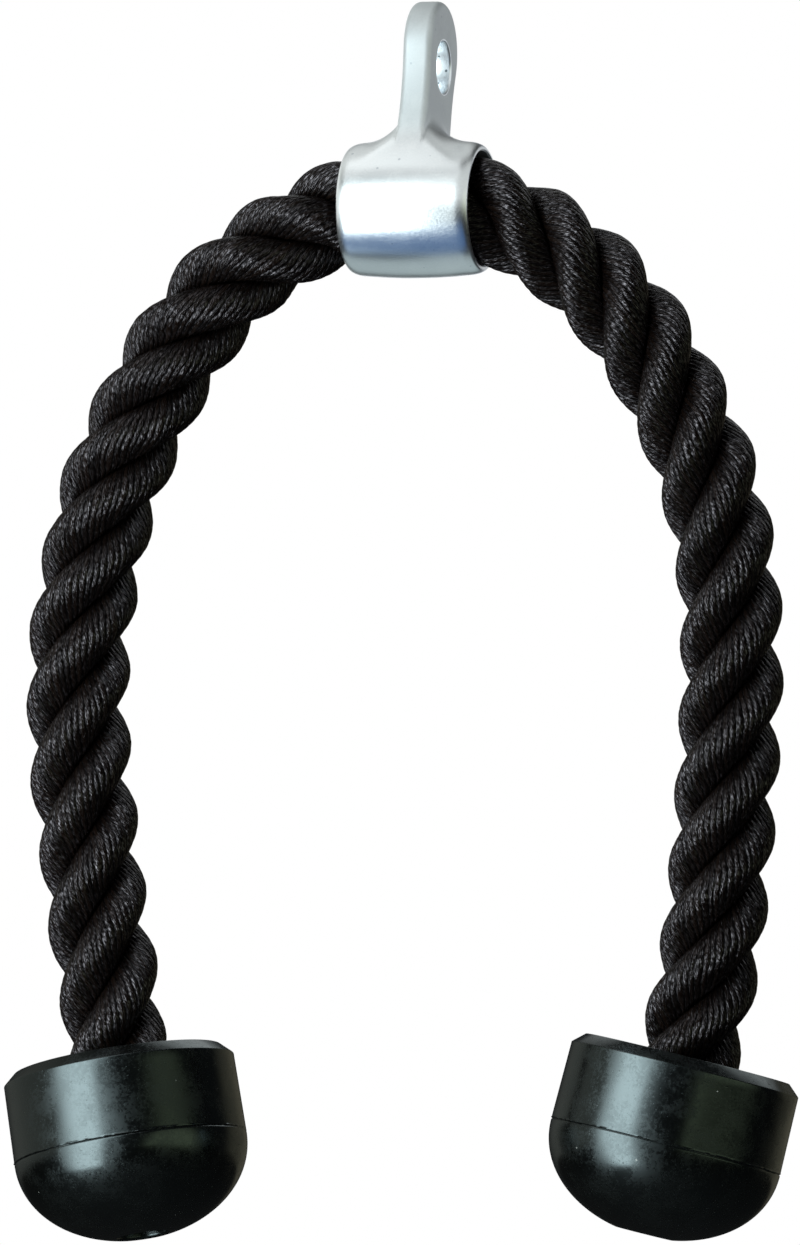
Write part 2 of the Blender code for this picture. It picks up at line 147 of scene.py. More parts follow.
def run_along(points: Points) -> np.ndarray:
    """The length of a line of points up to each of them."""
    return np.concatenate(([0], np.cumsum(np.linalg.norm(np.diff(points, axis=0), axis=1))))


def arc(centre: tuple[float, float], radius: float, start: float, end: float, steps: int) -> Points:
    """Points of an arc between two angles in degrees."""
    angles = np.radians(np.linspace(start, end, steps + 1))
    return np.column_stack((centre[0] + radius * np.cos(angles), centre[1] + radius * np.sin(angles)))


def way_to(azimuth: float, elevation: float) -> Vector:
    """The way from the object at angles round from the front, toward +X, and up, in radians."""
    level = math.cos(elevation)
    return Vector((math.sin(azimuth) * level, -math.cos(azimuth) * level, math.sin(elevation)))


def grid_quads(rings: int, steps: int, closed: bool = False) -> Faces:
    """Quads between the rings of a tube whose points run ring by ring.

    Args:
        rings: How many rings there are.
        steps: How many points a ring has.
        closed: Whether the last ring joins the first.

    Returns:
        One row of four point numbers for each quad.
    """
    spans = rings if closed else rings - 1
    ring, step = np.meshgrid(np.arange(spans), np.arange(steps), indexing="ij")
    after = (step + 1) % steps
    here, there = ring * steps, (ring + 1) % rings * steps
    return np.stack((here + step, here + after, there + after, there + step), -1).reshape(-1, 4)


def tube_faces(rings: int, steps: int, turned_over: bool) -> tuple[Faces, Faces]:
    """Faces of a tube whose ends close on two points that follow its own.

    Args:
        rings: How many rings there are.
        steps: How many points a ring has.
        turned_over: Whether the faces look the other way than those of grid_quads.

    Returns:
        The quads, and the triangles at both ends.
    """
    quads, step = grid_quads(rings, steps), np.arange(steps)
    after, last, pole = (step + 1) % steps, (rings - 1) * steps, np.full(steps, rings * steps)
    fans = np.vstack((np.column_stack((pole, after, step)),
                      np.column_stack((pole + 1, last + step, last + after))))
    return (quads[:, ::-1], fans[:, ::-1]) if turned_over else (quads, fans)


def turned(profile: Points, steps: int, poles: tuple[float, float] | None = None) -> tuple:
    """A profile turned round Z.

    Args:
        profile: Points (radius, height), down the outer side and up the inner one.
        steps: How many points make a turn.
        poles: The heights at which the ends close on the axis, or None for a ring.

    Returns:
        Points, quads and the triangles at the poles.
    """
    angles = np.arange(steps) * math.tau / steps
    radius, height = profile[:, :1], profile[:, 1:]
    grid = np.stack((radius * np.cos(angles), radius * np.sin(angles),
                     np.broadcast_to(height, (len(profile), steps))), -1).reshape(-1, 3)
    if poles is None:
        return grid, grid_quads(len(profile), steps, True)[:, ::-1], None
    return np.vstack((grid, [(0, 0, pole) for pole in poles])), *tube_faces(len(profile), steps, True)


def make_mesh(name: str, points: Points, quads: Faces, fans: Faces | None = None) -> bpy.types.Mesh:
    """A smooth-shaded mesh from arrays of points, quads and triangles."""
    mesh = bpy.data.meshes.new(name)
    fans = np.zeros((0, 3), int) if fans is None else fans
    mesh.vertices.add(len(points))
    mesh.vertices.foreach_set("co", np.asarray(points, np.float32).ravel())
    corners = np.concatenate((quads.ravel(), fans.ravel())).astype(np.int32)
    counts = np.concatenate((np.full(len(quads), 4), np.full(len(fans), 3)))
    starts = np.concatenate(([0], np.cumsum(counts)[:-1])).astype(np.int32)
    mesh.loops.add(len(corners))
    mesh.loops.foreach_set("vertex_index", corners)
    mesh.polygons.add(len(counts))
    mesh.polygons.foreach_set("loop_start", starts)
    mesh.update(calc_edges=True)
    mesh.validate()
    mesh.shade_smooth()
    return mesh


def add_object(name: str, data: bpy.types.ID) -> bpy.types.Object:
    """An object at the origin, linked to the scene."""
    added = bpy.data.objects.new(name, data)
    bpy.context.scene.collection.objects.link(added)
    return added


def make_object(name: str, mesh: bpy.types.Mesh, *materials: bpy.types.Material) -> bpy.types.Object:
    """An object at the origin that wears the given materials."""
    for material in materials:
        mesh.materials.append(material)
    return add_object(name, mesh)


class Value:
    """A number in a node tree, whose sums and products each place a Math node."""

    def __init__(self, graph: "Graph", socket: Socket) -> None:
        """Keeps the socket and the graph that it is in."""
        self.graph, self.socket = graph, socket

    def __add__(self, other: "Value | float") -> "Value":
        """The sum."""
        return self.graph.math("ADD", self, other)

    def __sub__(self, other: "Value | float") -> "Value":
        """The difference."""
        return self.graph.math("SUBTRACT", self, other)

    def __rsub__(self, other: float) -> "Value":
        """The difference from a constant."""
        return self.graph.math("SUBTRACT", other, self)

    def __mul__(self, other: "Value | float") -> "Value":
        """The product."""
        return self.graph.math("MULTIPLY", self, other)

    def __truediv__(self, other: "Value | float") -> "Value":
        """The quotient."""
        return self.graph.math("DIVIDE", self, other)


class Graph:
    """A node tree with short calls that place a node and join its sockets."""

    def __init__(self, tree: bpy.types.NodeTree) -> None:
        """Keeps the tree that the calls add to."""
        self.tree = tree

    def feed(self, socket: Socket, value: object) -> None:
        """Links a socket to a value or to another socket, or sets its constant."""
        value = value.socket if isinstance(value, Value) else value
        if isinstance(value, bpy.types.NodeSocket):
            self.tree.links.new(value, socket)
        else:
            socket.default_value = value

    def add(self, kind: str, inputs: dict | None = None, **settings: object) -> bpy.types.Node:
        """Places a shader node.

        Args:
            kind: The node's type, without its ShaderNode prefix.
            inputs: Constants, values or sockets by input name or number.
            settings: The node's own properties.

        Returns:
            The new node.
        """
        node = self.tree.nodes.new("ShaderNode" + kind)
        for name, value in settings.items():
            setattr(node, name, value)
        for key, value in (inputs or {}).items():
            self.feed(node.inputs[key], value)
        return node

    def pick(self, node: bpy.types.Node, *names: str) -> list[Value]:
        """A node's outputs as values, by name."""
        return [Value(self, node.outputs[name]) for name in names]

    def split(self, vector: Socket) -> list[Value]:
        """A vector's three parts."""
        return self.pick(self.add("SeparateXYZ", {"Vector": vector}), "X", "Y", "Z")

    def join(self, across: Value, along: Value | float) -> Socket:
        """A vector of two parts."""
        return self.add("CombineXYZ", {"X": across, "Y": along}).outputs["Vector"]

    def math(self, operation: str, first: object, second: object = 0.0, clamp: bool = False) -> Value:
        """The result of one operation on two values."""
        node = self.add("Math", {0: first, 1: second}, operation=operation, use_clamp=clamp)
        return Value(self, node.outputs["Value"])

    def span(self, value: object, low: float, high: float, to_low: float = 0.0,
             to_high: float = 1.0) -> Value:
        """Carries a value smoothly from one range to another and holds it there."""
        inputs = {"Value": value, "From Min": low, "From Max": high, "To Min": to_low, "To Max": to_high}
        node = self.add("MapRange", inputs, interpolation_type="SMOOTHSTEP")
        return Value(self, node.outputs["Result"])

    def noise(self, vector: Socket, scale: object, detail: float, roughness: float) -> Value:
        """A noise value near 0.5."""
        inputs = {"Vector": vector, "Scale": scale, "Detail": detail, "Roughness": roughness}
        return Value(self, self.add("TexNoise", inputs).outputs["Fac"])

    def chances(self, cells: bpy.types.Node) -> list[Value]:
        """Two random numbers for each cell of a cell pattern."""
        return self.pick(self.add("SeparateColor", {"Color": cells.outputs["Color"]}), "Red", "Green")

    def blend(self, factor: object, first: object, second: object) -> Socket:
        """A colour between two, by a factor."""
        node = self.add("Mix", data_type="RGBA")
        for name, value in (("Factor_Float", factor), ("A_Color", first), ("B_Color", second)):
            self.feed(next(s for s in node.inputs if s.identifier == name), value)
        return next(s for s in node.outputs if s.identifier == "Result_Color")


def rgba(red: float, green: float, blue: float) -> tuple[float, float, float, float]:
    """An opaque colour."""
    return red, green, blue, 1.0


class EffectGroups:
    """Effects that several finishes share, each a node group built once."""

    @staticmethod
    def start(name: str, outputs: tuple[str, ...], **inputs: float) -> tuple[Graph, Socket, list[Value]]:
        """A group with a Vector input that holds nothing yet.

        Args:
            name: The group's name.
            outputs: The names of its values out.
            inputs: The other inputs and their defaults.

        Returns:
            The group's graph, its vector and its other inputs.
        """
        tree = bpy.data.node_groups.new(name, "ShaderNodeTree")
        tree.interface.new_socket("Vector", in_out="INPUT", socket_type="NodeSocketVector")
        for title, default in inputs.items():
            socket = tree.interface.new_socket(title, in_out="INPUT", socket_type="NodeSocketFloat")
            socket.default_value = default
        for title in outputs:
            tree.interface.new_socket(title, in_out="OUTPUT", socket_type="NodeSocketFloat")
        graph, into = Graph(tree), tree.nodes.new("NodeGroupInput")
        return graph, into.outputs["Vector"], graph.pick(into, *inputs)

    @staticmethod
    def finish(graph: Graph, **results: Value) -> bpy.types.NodeTree:
        """Joins a group's values to its outputs and returns the group."""
        out = graph.tree.nodes.new("NodeGroupOutput")
        for title, value in results.items():
            graph.feed(out.inputs[title], value)
        return graph.tree

    @staticmethod
    @cache
    def specks() -> bpy.types.NodeTree:
        """Round specks: in a share of the cells of a cell pattern, the middle is marked.

        Returns:
            A group from Vector, Scale, Share and Radius to Mask.
        """
        graph, vector, (scale, share, radius) = EffectGroups.start(
            "specks", ("Mask",), Scale=500.0, Share=0.05, Radius=0.2)
        cells = graph.add("TexVoronoi", {"Vector": vector, "Scale": scale})
        pick, size = graph.chances(cells)
        chosen = graph.math("LESS_THAN", pick, share)
        distance = Value(graph, cells.outputs["Distance"])
        edge = graph.math("SUBTRACT", 1.0, distance / (radius * (size + 0.3)), clamp=True)
        mask = chosen * graph.math("MULTIPLY", edge, 3.0, clamp=True)
        return EffectGroups.finish(graph, Mask=mask)

    @staticmethod
    @cache
    def handling() -> bpy.types.NodeTree:
        """Uneven handling marks: broad blotches broken up by finer ones.

        Returns:
            A group from Vector, Broad and Fine scales to Blotch and Grain.
        """
        graph, vector, (broad_scale, fine_scale) = EffectGroups.start(
            "handling", ("Blotch", "Grain"), Broad=60.0, Fine=900.0)
        broad = graph.noise(vector, broad_scale, 4.0, 0.65)
        fine = graph.noise(vector, fine_scale, 3.0, 0.6)
        blotch = graph.span(broad + (fine - 0.5) * 0.5, 0.38, 0.66)
        return EffectGroups.finish(graph, Blotch=blotch, Grain=fine)

    @staticmethod
    @cache
    def facets() -> bpy.types.NodeTree:
        """Flat facets, each tilted its own way: a cell's random slope times the way from its middle.

        Returns:
            A group from Vector and the slopes Across and Along to Height.
        """
        graph, vector, (across, along) = EffectGroups.start(
            "facets", ("Height",), Across=1.0, Along=1.0)
        cells = graph.add("TexVoronoi", {"Vector": vector, "Scale": 1.0}, voronoi_dimensions="3D")
        away = graph.add("VectorMath", {0: vector, 1: cells.outputs["Position"]}, operation="SUBTRACT")
        x, y, _ = graph.split(away.outputs["Vector"])
        tilt_x, tilt_y = graph.chances(cells)
        height = x * (tilt_x - 0.5) * across + y * (tilt_y - 0.5) * along
        return EffectGroups.finish(graph, Height=height)


class Finish:
    """A finish with a Principled shader, whose look its own dress method sets."""

    name = "finish"

    def __init__(self) -> None:
        """Starts a material with its graph, its shader and the point's place on the object."""
        self.material = bpy.data.materials.new(self.name)
        self.material.use_nodes = True
        self.graph = Graph(self.material.node_tree)
        self.shader = self.material.node_tree.nodes["Principled BSDF"]
        self.place = self.graph.add("TexCoord").outputs["Object"]
        self.dress()

    def dress(self) -> None:
        """Sets the finish; each kind has its own."""
        raise NotImplementedError

    def set(self, **values: object) -> None:
        """Feeds the shader's sockets, named with _ for a space."""
        for name, value in values.items():
            self.graph.feed(self.shader.inputs[name.replace("_", " ")], value)

    def use(self, tree: bpy.types.NodeTree, **values: object) -> list[Value]:
        """Places a shared effect with its own values and returns its outputs."""
        node = self.graph.add("Group", values, node_tree=tree)
        return self.graph.pick(node, *node.outputs.keys())

    def handled(self, broad: float, fine: float) -> list[Value]:
        """The blotches and the grain of handling, at two scales."""
        return self.use(EffectGroups.handling(), Vector=self.place, Broad=broad, Fine=fine)

    def specked(self, scale: float, share: float, radius: float) -> Value:
        """The mask of round specks."""
        return self.use(EffectGroups.specks(), Vector=self.place, Scale=scale, Share=share,
                        Radius=radius)[0]

    def bump(self, height: Value, distance: float, strength: float) -> Socket:
        """A normal raised by a height."""
        inputs = {"Height": height, "Distance": distance, "Strength": strength}
        return self.graph.add("Bump", inputs).outputs["Normal"]


class CastAluminium(Finish):
    """Cast aluminium: the lug keeps its dull blasted skin, and the tube is rubbed to a satin."""

    name = "cast_aluminium"
    satin_below = -0.0250
    dull_above = -0.0130

    def dress(self) -> None:
        """Mottles the colour, dulls the skin from the tube's top up the fillet, raises the grain."""
        graph = self.graph
        dull = graph.span(graph.split(self.place)[2], self.satin_below, self.dull_above)
        blotch, grain = self.handled(70.0, 1500.0)
        pits = self.specked(700.0, 0.03, 0.30)
        satin = graph.blend(blotch, rgba(0.64, 0.655, 0.660), rgba(0.70, 0.710, 0.712))
        skin = graph.blend(blotch, rgba(0.50, 0.520, 0.525), rgba(0.56, 0.580, 0.582))
        colour = graph.blend(pits * 0.6, graph.blend(dull, satin, skin), rgba(0.34, 0.37, 0.40))
        rough = blotch * 0.05 + grain * 0.06 + graph.span(dull, 0.0, 1.0, 0.26, 0.56)
        self.set(Base_Color=colour, Metallic=1.0, Roughness=rough,
                 Normal=self.bump(grain - pits * 0.8, 0.00005, 0.55))


class MachinedAluminium(Finish):
    """The bright drilled wall of the eye, with turning marks and small dark pits."""

    name = "machined_aluminium"

    def dress(self) -> None:
        """Stretches fine lines round the hole and pits its wall."""
        graph = self.graph
        round_hole = graph.add("Mapping", {"Vector": self.place, "Scale": (1.0, 0.06, 0.06)})
        lines = graph.noise(round_hole.outputs["Vector"], 4200.0, 2.0, 0.5)
        pits = self.specked(1100.0, 0.10, 0.4)
        colour = graph.blend(pits, rgba(0.80, 0.83, 0.85), rgba(0.10, 0.13, 0.15))
        self.set(Base_Color=colour, Metallic=1.0, Roughness=graph.span(lines, 0.3, 0.7, 0.26, 0.38),
                 Normal=self.bump(lines - pits, 0.00002, 0.4))


class RopeFibre(Finish):
    """Black twisted fibre: every yarn is a bundle of filaments, with painted shade and a duller gloss in
    the seams between, and its lightest filaments lifted as painted highlights.
    """

    name = "rope_fibre"

    def dress(self) -> None:
        """Reads the rope's map, whose u counts yarns and whose v runs along them."""
        graph = self.graph
        across, along, _ = graph.split(graph.add("UVMap", uv_map="yarns").outputs["UV"])
        # The seam mask paints shade into the colour between the yarns and roughens the gloss there.
        seam = graph.span(graph.math("ABSOLUTE", graph.math("FRACT", across) - 0.5), 0.30, 0.48)

        twist = across + along * 0.16
        filaments = graph.noise(graph.join(twist * 6.0, along * 0.45), 1.0, 3.0, 0.62)
        glints = graph.noise(graph.join(twist * 8.0, along * 1.6), 1.0, 2.0, 0.5)
        tape = graph.join(twist * 1.6, along * 0.45)
        facets = self.use(EffectGroups.facets(), Vector=tape, Across=0.45, Along=0.9)[0]
        patches = graph.noise(self.place, 90.0, 3.0, 0.6)

        yarn = graph.join(graph.math("FLOOR", across), 0.5)
        shade = graph.add("TexWhiteNoise", {"Vector": yarn}, noise_dimensions="2D")
        tone = filaments * 0.7 + graph.pick(shade, "Value")[0] * 0.3
        colour = graph.blend(graph.span(tone, 0.25, 0.75), rgba(0.0018, 0.0010, 0.0008),
                             rgba(0.0085, 0.0048, 0.0034))
        # Painted highlight: the brightest filaments are lifted toward a pale brown in the colour, as if
        # light caught them along the yarns.
        painted_filament_highlight = graph.span(filaments, 0.66, 0.74) * 0.35
        colour = graph.blend(painted_filament_highlight, colour, rgba(0.060, 0.050, 0.042))
        # Painted shade: the seams between the yarns are darkened toward black in the colour.
        colour = graph.blend(seam, colour, rgba(0.0010, 0.0009, 0.0009))

        gloss = graph.span(glints, 0.35, 0.68, 0.07, 0.20) + patches * 0.07
        rough = graph.math("ADD", gloss, seam * 0.20, clamp=True)
        height = filaments * 0.25 + (glints * 0.25 + facets)
        sheen = graph.span(glints, 0.46, 0.66, 0.05, 1.0)
        self.set(Base_Color=colour, Roughness=rough, IOR=1.72, Specular_IOR_Level=sheen,
                 Specular_Tint=rgba(1.0, 0.91, 0.97), Normal=self.bump(height, 0.0007, 1.0))


class MouldedRubber(Finish):
    """Black semi-gloss rubber, rubbed in patches, with specks of dust and fine scratches."""

    name = "moulded_rubber"

    def dress(self) -> None:
        """Breaks the gloss up and lays dust and scratches over it."""
        graph = self.graph
        blotch, grain = self.handled(110.0, 1300.0)
        dust = self.specked(330.0, 0.045, 0.10)
        colour = graph.blend(blotch, rgba(0.0006, 0.0006, 0.0004), rgba(0.0014, 0.0014, 0.0009))
        colour = graph.blend(dust * 0.8, colour, rgba(0.42, 0.42, 0.38))
        strokes = graph.add("Mapping", {"Vector": self.place, "Rotation": (0.4, 1.1, 0.7),
                                        "Scale": (1.0, 0.035, 1.0)}).outputs["Vector"]
        scratch = graph.span(graph.noise(strokes, 1600.0, 1.0, 0.4), 0.70, 0.76)
        rough = blotch * 0.14 + scratch * 0.14 + grain * 0.07 + 0.15
        self.set(Base_Color=colour, Roughness=rough, IOR=1.58, Specular_IOR_Level=1.0,
                 Specular_Tint=rgba(0.84, 0.98, 1.0),
                 Normal=self.bump(grain * 0.6 - scratch, 0.00003, 0.35))


class MottledMetal(Finish):
    """A metal mottled between two colours, with a fine uneven grain."""

    scales = (260.0, 1800.0)
    dark = rgba(0.52, 0.51, 0.46)
    light = rgba(0.66, 0.66, 0.62)
    least_rough = 0.30
    most_rough = 0.48

    def dress(self) -> None:
        """Mottles the colour and the gloss and raises the grain."""
        blotch, grain = self.handled(*self.scales)
        self.set(Base_Color=self.graph.blend(blotch, self.dark, self.light), Metallic=1.0,
                 Roughness=self.graph.span(grain, 0.3, 0.7, self.least_rough, self.most_rough),
                 Normal=self.bump(grain, 0.00004, 0.4))


class ZincPlate(MottledMetal):
    """Dull yellowish zinc on pressed steel."""

    name = "zinc_plating"


class OiledSteel(MottledMetal):
    """Black oiled steel with bright rubbed spots."""

    name = "oiled_steel"
    scales = (420.0, 2400.0)
    dark = rgba(0.045, 0.045, 0.048)
    light = rgba(0.16, 0.16, 0.16)
    least_rough = 0.32
    most_rough = 0.52


@dataclass(frozen=True)
class RopeRoute:
    """The rope's centre line over the collar, from the left rope end to the right one.

    The points are shares of the rope's reach to the side and of its drop, from the
    collar's middle outward. Each end runs straight into its stopper.
    """

    reach: float = 0.0944
    drop: float = 0.2345
    crown_rise: float = 0.0007
    left_toe_in: float = math.radians(10.0)
    right_toe_in: float = math.radians(13.5)
    samples: int = 4000
    slope_step: float = 0.0004
    left_shares: tuple = (
        (0.127, 0.0004), (0.259, 0.0059), (0.360, 0.0271), (0.479, 0.0555), (0.582, 0.0916),
        (0.671, 0.1341), (0.757, 0.1865), (0.819, 0.2350), (0.875, 0.2846), (0.925, 0.3406),
        (0.960, 0.4011), (0.988, 0.4649), (1.001, 0.5290), (0.998, 0.6010), (0.981, 0.6780),
        (0.955, 0.7509), (0.931, 0.8209), (0.903, 0.8817), (0.878, 0.9400), (0.860, 0.9980),
    )
    right_shares: tuple = (
        (0.127, 0.0004), (0.220, 0.0044), (0.321, 0.0245), (0.443, 0.0544), (0.562, 0.0959),
        (0.665, 0.1441), (0.748, 0.1965), (0.823, 0.2536), (0.881, 0.3086), (0.918, 0.3599),
        (0.949, 0.4199), (0.967, 0.4900), (0.971, 0.5690), (0.965, 0.6519), (0.955, 0.7339),
        (0.940, 0.8117), (0.919, 0.8863), (0.891, 0.9444), (0.860, 1.0000),
    )

    def toe_in(self, side: Side) -> float:
        """How far a side's end leans inward."""
        return self.left_toe_in if side is Side.LEFT else self.right_toe_in

    def way_down(self, side: Side) -> np.ndarray:
        """The straight way into a side's stopper, in the rope's plane."""
        lean = self.toe_in(side)
        return np.array((-side.value * math.sin(lean), -math.cos(lean)))

    def controls(self) -> Points:
        """The chosen points in metres, in the rope's plane, from left to right."""
        left = np.array(self.left_shares) * (-self.reach, -self.drop)
        right = np.array(self.right_shares) * (self.reach, -self.drop)
        return np.vstack((left[::-1], (0.0, self.crown_rise), right))

    def mouth(self, side: Side) -> np.ndarray:
        """The middle of a stopper's flat top, in the frame of the model."""
        spot = self.controls()[0 if side is Side.LEFT else -1]
        return BORE_AXIS + (spot[0], 0.0, spot[1])

    def curve(self) -> tuple[Points, np.ndarray]:
        """The centre line and its run, which is 0 at the collar's middle.

        A cubic joins each pair of points. The second derivatives are worked out so that
        the curve bends without a jump, with its slopes set at both ends.

        Returns:
            The points of the line in the rope's plane, and the run to each.
        """
        points = self.controls()
        knots = run_along(points)
        gaps = np.diff(knots)
        slopes = np.diff(points, axis=0) / gaps[:, None]
        middle = np.concatenate(([2 * gaps[0]], 2 * (gaps[:-1] + gaps[1:]), [2 * gaps[-1]]))
        system = np.diag(middle) + np.diag(gaps, 1) + np.diag(gaps, -1)
        start, end = -self.way_down(Side.LEFT), self.way_down(Side.RIGHT)
        bends = np.linalg.solve(system, 6 * np.diff(np.vstack((start, slopes, end)), axis=0))
        along = np.linspace(0, knots[-1], self.samples)
        at = np.clip(np.searchsorted(knots, along, side="right") - 1, 0, len(gaps) - 1)
        gap = gaps[at][:, None]
        past, left = (along - knots[at])[:, None], (knots[at + 1] - along)[:, None]
        line = (
            (bends[at] * left ** 3 + bends[at + 1] * past ** 3) / (6 * gap)
            + (points[at] / gap - bends[at] * gap / 6) * left
            + (points[at + 1] / gap - bends[at + 1] * gap / 6) * past
        )
        line = np.vstack((line[0] - start * ROPE_END_DEPTH, line, line[-1] + end * ROPE_END_DEPTH))
        run = run_along(line)
        return line, run - np.interp(0.0, line[:, 0], run)


@dataclass(frozen=True)
class LaidRope:
    """Three strands laid round each other, each a bundle of yarns that twists the other way."""

    route: RopeRoute
    pitch: float = 0.0617
    lay_start: float = 0.0064
    strands: int = 3
    strand_gap: float = 0.0003
    lobe_share: float = 0.55
    corner_round: float = 0.0006
    yarns: int = 24
    yarn_round_share: float = 0.95
    yarn_depth_share: float = 0.85
    yarn_lean_share: float = 1.06
    yarn_shift_share: float = 0.13
    yarn_drift_share: float = 0.22
    yarn_swell: float = 0.00007
    strand_slack: float = 0.00004
    drift_waves: tuple[float, ...] = (0.021, 0.013, 0.0083)
    swell_waves: tuple[float, ...] = (0.017, 0.0105, 0.0061)
    slack_waves: tuple[float, ...] = (0.047, 0.031)
    phase_shares: tuple[float, ...] = (0.0, 0.18, 0.5, 0.82)
    outline_steps: int = 960
    visible_step: float = 0.00083
    hidden_step: float = 0.0026
    hidden_from_crown: float = 0.0150
    core_radius: float = 0.0036
    core_length: float = 0.0263
    core_taper: float = 0.0060
    blend_start: float = 0.0240
    blend_end: float = 0.0920
    sharp_above: float = math.radians(48)
    seed: int = 11

    def outline(self, core: float) -> Points:
        """The outline of one strand, its crest on +X, at even steps round it.

        A lobe of the rope's outer round, cut by two flat flanks that stay half a gap
        inside the strand's third and meet at an inner edge, with its corners rounded by
        a moving average.

        Args:
            core: How far the inner edge stands off the rope's axis.

        Returns:
            The points, the last one step short of the first.
        """
        lobe = ROPE_DIAMETER / 2 * self.lobe_share
        middle = ROPE_DIAMETER / 2 - lobe
        half = math.pi / self.strands
        swing = half + math.asin((middle * math.sin(half) - self.strand_gap / 2) / lobe)
        edge = max(core, self.strand_gap / 2 / math.sin(half))
        angles = np.linspace(-swing, swing, self.outline_steps)
        round_part = np.column_stack((middle + lobe * np.cos(angles), lobe * np.sin(angles)))
        loop = np.vstack((round_part, (edge, 0.0), round_part[:1]))
        run = run_along(loop)
        even = np.linspace(0, run[-1], self.outline_steps, endpoint=False)
        spots = np.column_stack([np.interp(even, run, axis) for axis in loop.T])
        reach = np.arange(self.outline_steps) * run[-1] / self.outline_steps
        weight = bell(np.minimum(reach, run[-1] - reach), self.corner_round)
        smoothed = np.fft.fft(spots, axis=0) * np.fft.fft(weight / weight.sum())[:, None]
        return np.fft.ifft(smoothed, axis=0).real

    def perimeter(self) -> float:
        """The length round one strand."""
        outline = self.outline(0.0)
        return float(np.linalg.norm(outline - np.roll(outline, 1, axis=0), axis=1).sum())

    def yarn_width(self) -> float:
        """The width of one yarn."""
        return self.perimeter() / self.yarns

    def ends(self) -> tuple[float, float]:
        """The run of the left end and of the right end."""
        run = self.route.curve()[1]
        return run[0], run[-1]

    def rings(self, side: Side) -> np.ndarray:
        """The run of each ring of one side, from the collar's middle to the rope's end."""
        end = abs(self.ends()[0 if side is Side.LEFT else 1])
        hidden_end = end - ROPE_END_DEPTH + 3 * self.visible_step
        stretches = ((0.0, self.hidden_from_crown, self.hidden_step),
                     (self.hidden_from_crown, hidden_end, self.visible_step),
                     (hidden_end, end, self.hidden_step))
        runs = [np.linspace(a, b, round((b - a) / step), endpoint=False) for a, b, step in stretches]
        return side.value * np.concatenate((*runs, [end]))

    def core_share(self, runs: np.ndarray) -> np.ndarray:
        """How far the strands have opened for the screw, from 0 to 1."""
        low, high = self.ends()
        from_end = np.minimum(runs - low, high - runs)
        return np.clip((self.core_length + self.core_taper - from_end) / self.core_taper, 0, 1)

    def frames(self, runs: np.ndarray) -> tuple[Points, Points]:
        """The centre line at each run, and the way out from it in the rope's plane."""
        line, run = self.route.curve()

        def at(where: np.ndarray) -> Points:
            """The centre line at a run."""
            inside = np.clip(where, run[0], run[-1])
            return np.column_stack([np.interp(inside, run, axis) for axis in line.T])

        way = at(runs + self.route.slope_step) - at(runs - self.route.slope_step)
        way /= np.linalg.norm(way, axis=1)[:, None]
        spots, level = at(runs), np.zeros(len(runs))
        centre = np.column_stack((spots[:, 0], level, spots[:, 1])) + BORE_AXIS
        return centre, np.column_stack((-way[:, 1], level, way[:, 0]))

    def strand(self, side: Side, number: int) -> tuple[Points, np.ndarray]:
        """One strand of one side as a grid of points, and the map of its yarns.

        Every column of the grid follows one line of a yarn. The line's place round the
        strand's outline falls steadily along the rope, at the rate that carries it
        backward over the crest as fast as the lay carries it forward, so that at the
        crest the yarns run nearly along the rope. Across a yarn the surface sinks from
        its crest to the seams as a round bundle does. The depth, width and line of each
        yarn vary a little, by soft waves.

        Args:
            side: The leg.
            number: Which strand.

        Returns:
            Points by ring and column, and the yarn coordinate of the columns.
        """
        chance = np.random.default_rng(self.seed + 10 * number + side.value)
        runs = self.rings(side)
        centre, outward = self.frames(runs)
        yarn = np.repeat(np.arange(self.yarns), len(self.phase_shares))
        phase = np.tile(np.array(self.phase_shares), self.yarns)
        shift = chance.uniform(-self.yarn_shift_share, self.yarn_shift_share, self.yarns)
        moved = shift + self.yarn_drift_share * soft_waves(runs, self.drift_waves, chance, self.yarns)
        left, right = moved[:, yarn], moved[:, (yarn + 1) % self.yarns]
        column = yarn + phase + left * (1 - phase) + right * phase

        rate = -self.yarn_lean_share * math.tau / self.pitch * ROPE_DIAMETER / 2 / self.perimeter()
        around = column / self.yarns + rate * runs[:, None]
        grid = np.linspace(0, 1, self.outline_steps + 1)

        def looked_up(values: np.ndarray) -> np.ndarray:
            """A value of the outline at each place round it."""
            return np.interp(around % 1, grid, np.append(values, values[0]))

        open_share = self.core_share(runs)[:, None]
        shut, opened = self.outline(0.0), self.outline(self.core_radius)
        x, y = (looked_up(shut[:, axis]) * (1 - open_share) + looked_up(opened[:, axis]) * open_share
                for axis in (0, 1))
        tangent = np.roll(shut, -1, axis=0) - np.roll(shut, 1, axis=0)
        tangent /= np.linalg.norm(tangent, axis=1)[:, None]

        across = (2 * phase - 1) * self.yarn_round_share
        bundle = (1 - np.sqrt(1 - across ** 2)) * self.yarn_width() / 2 * self.yarn_depth_share
        swell = soft_waves(runs, self.swell_waves, chance, self.yarns)[:, yarn]
        sink = bundle + self.yarn_swell * (1 + swell) * (phase > 0)
        sink = sink + self.strand_slack * (1 + soft_waves(runs, self.slack_waves, chance))[:, None]
        x, y = x - looked_up(tangent[:, 1]) * sink, y - looked_up(-tangent[:, 0]) * sink

        turn = math.tau * ((runs - self.lay_start) / self.pitch + (number + 0.5) / self.strands)
        turn = turn[:, None]
        out = x * np.cos(turn) - y * np.sin(turn)
        points = centre[:, None] + outward[:, None] * out[..., None]
        points[..., 1] -= x * np.sin(turn) + y * np.cos(turn)
        return points, yarn + phase + number * self.yarns

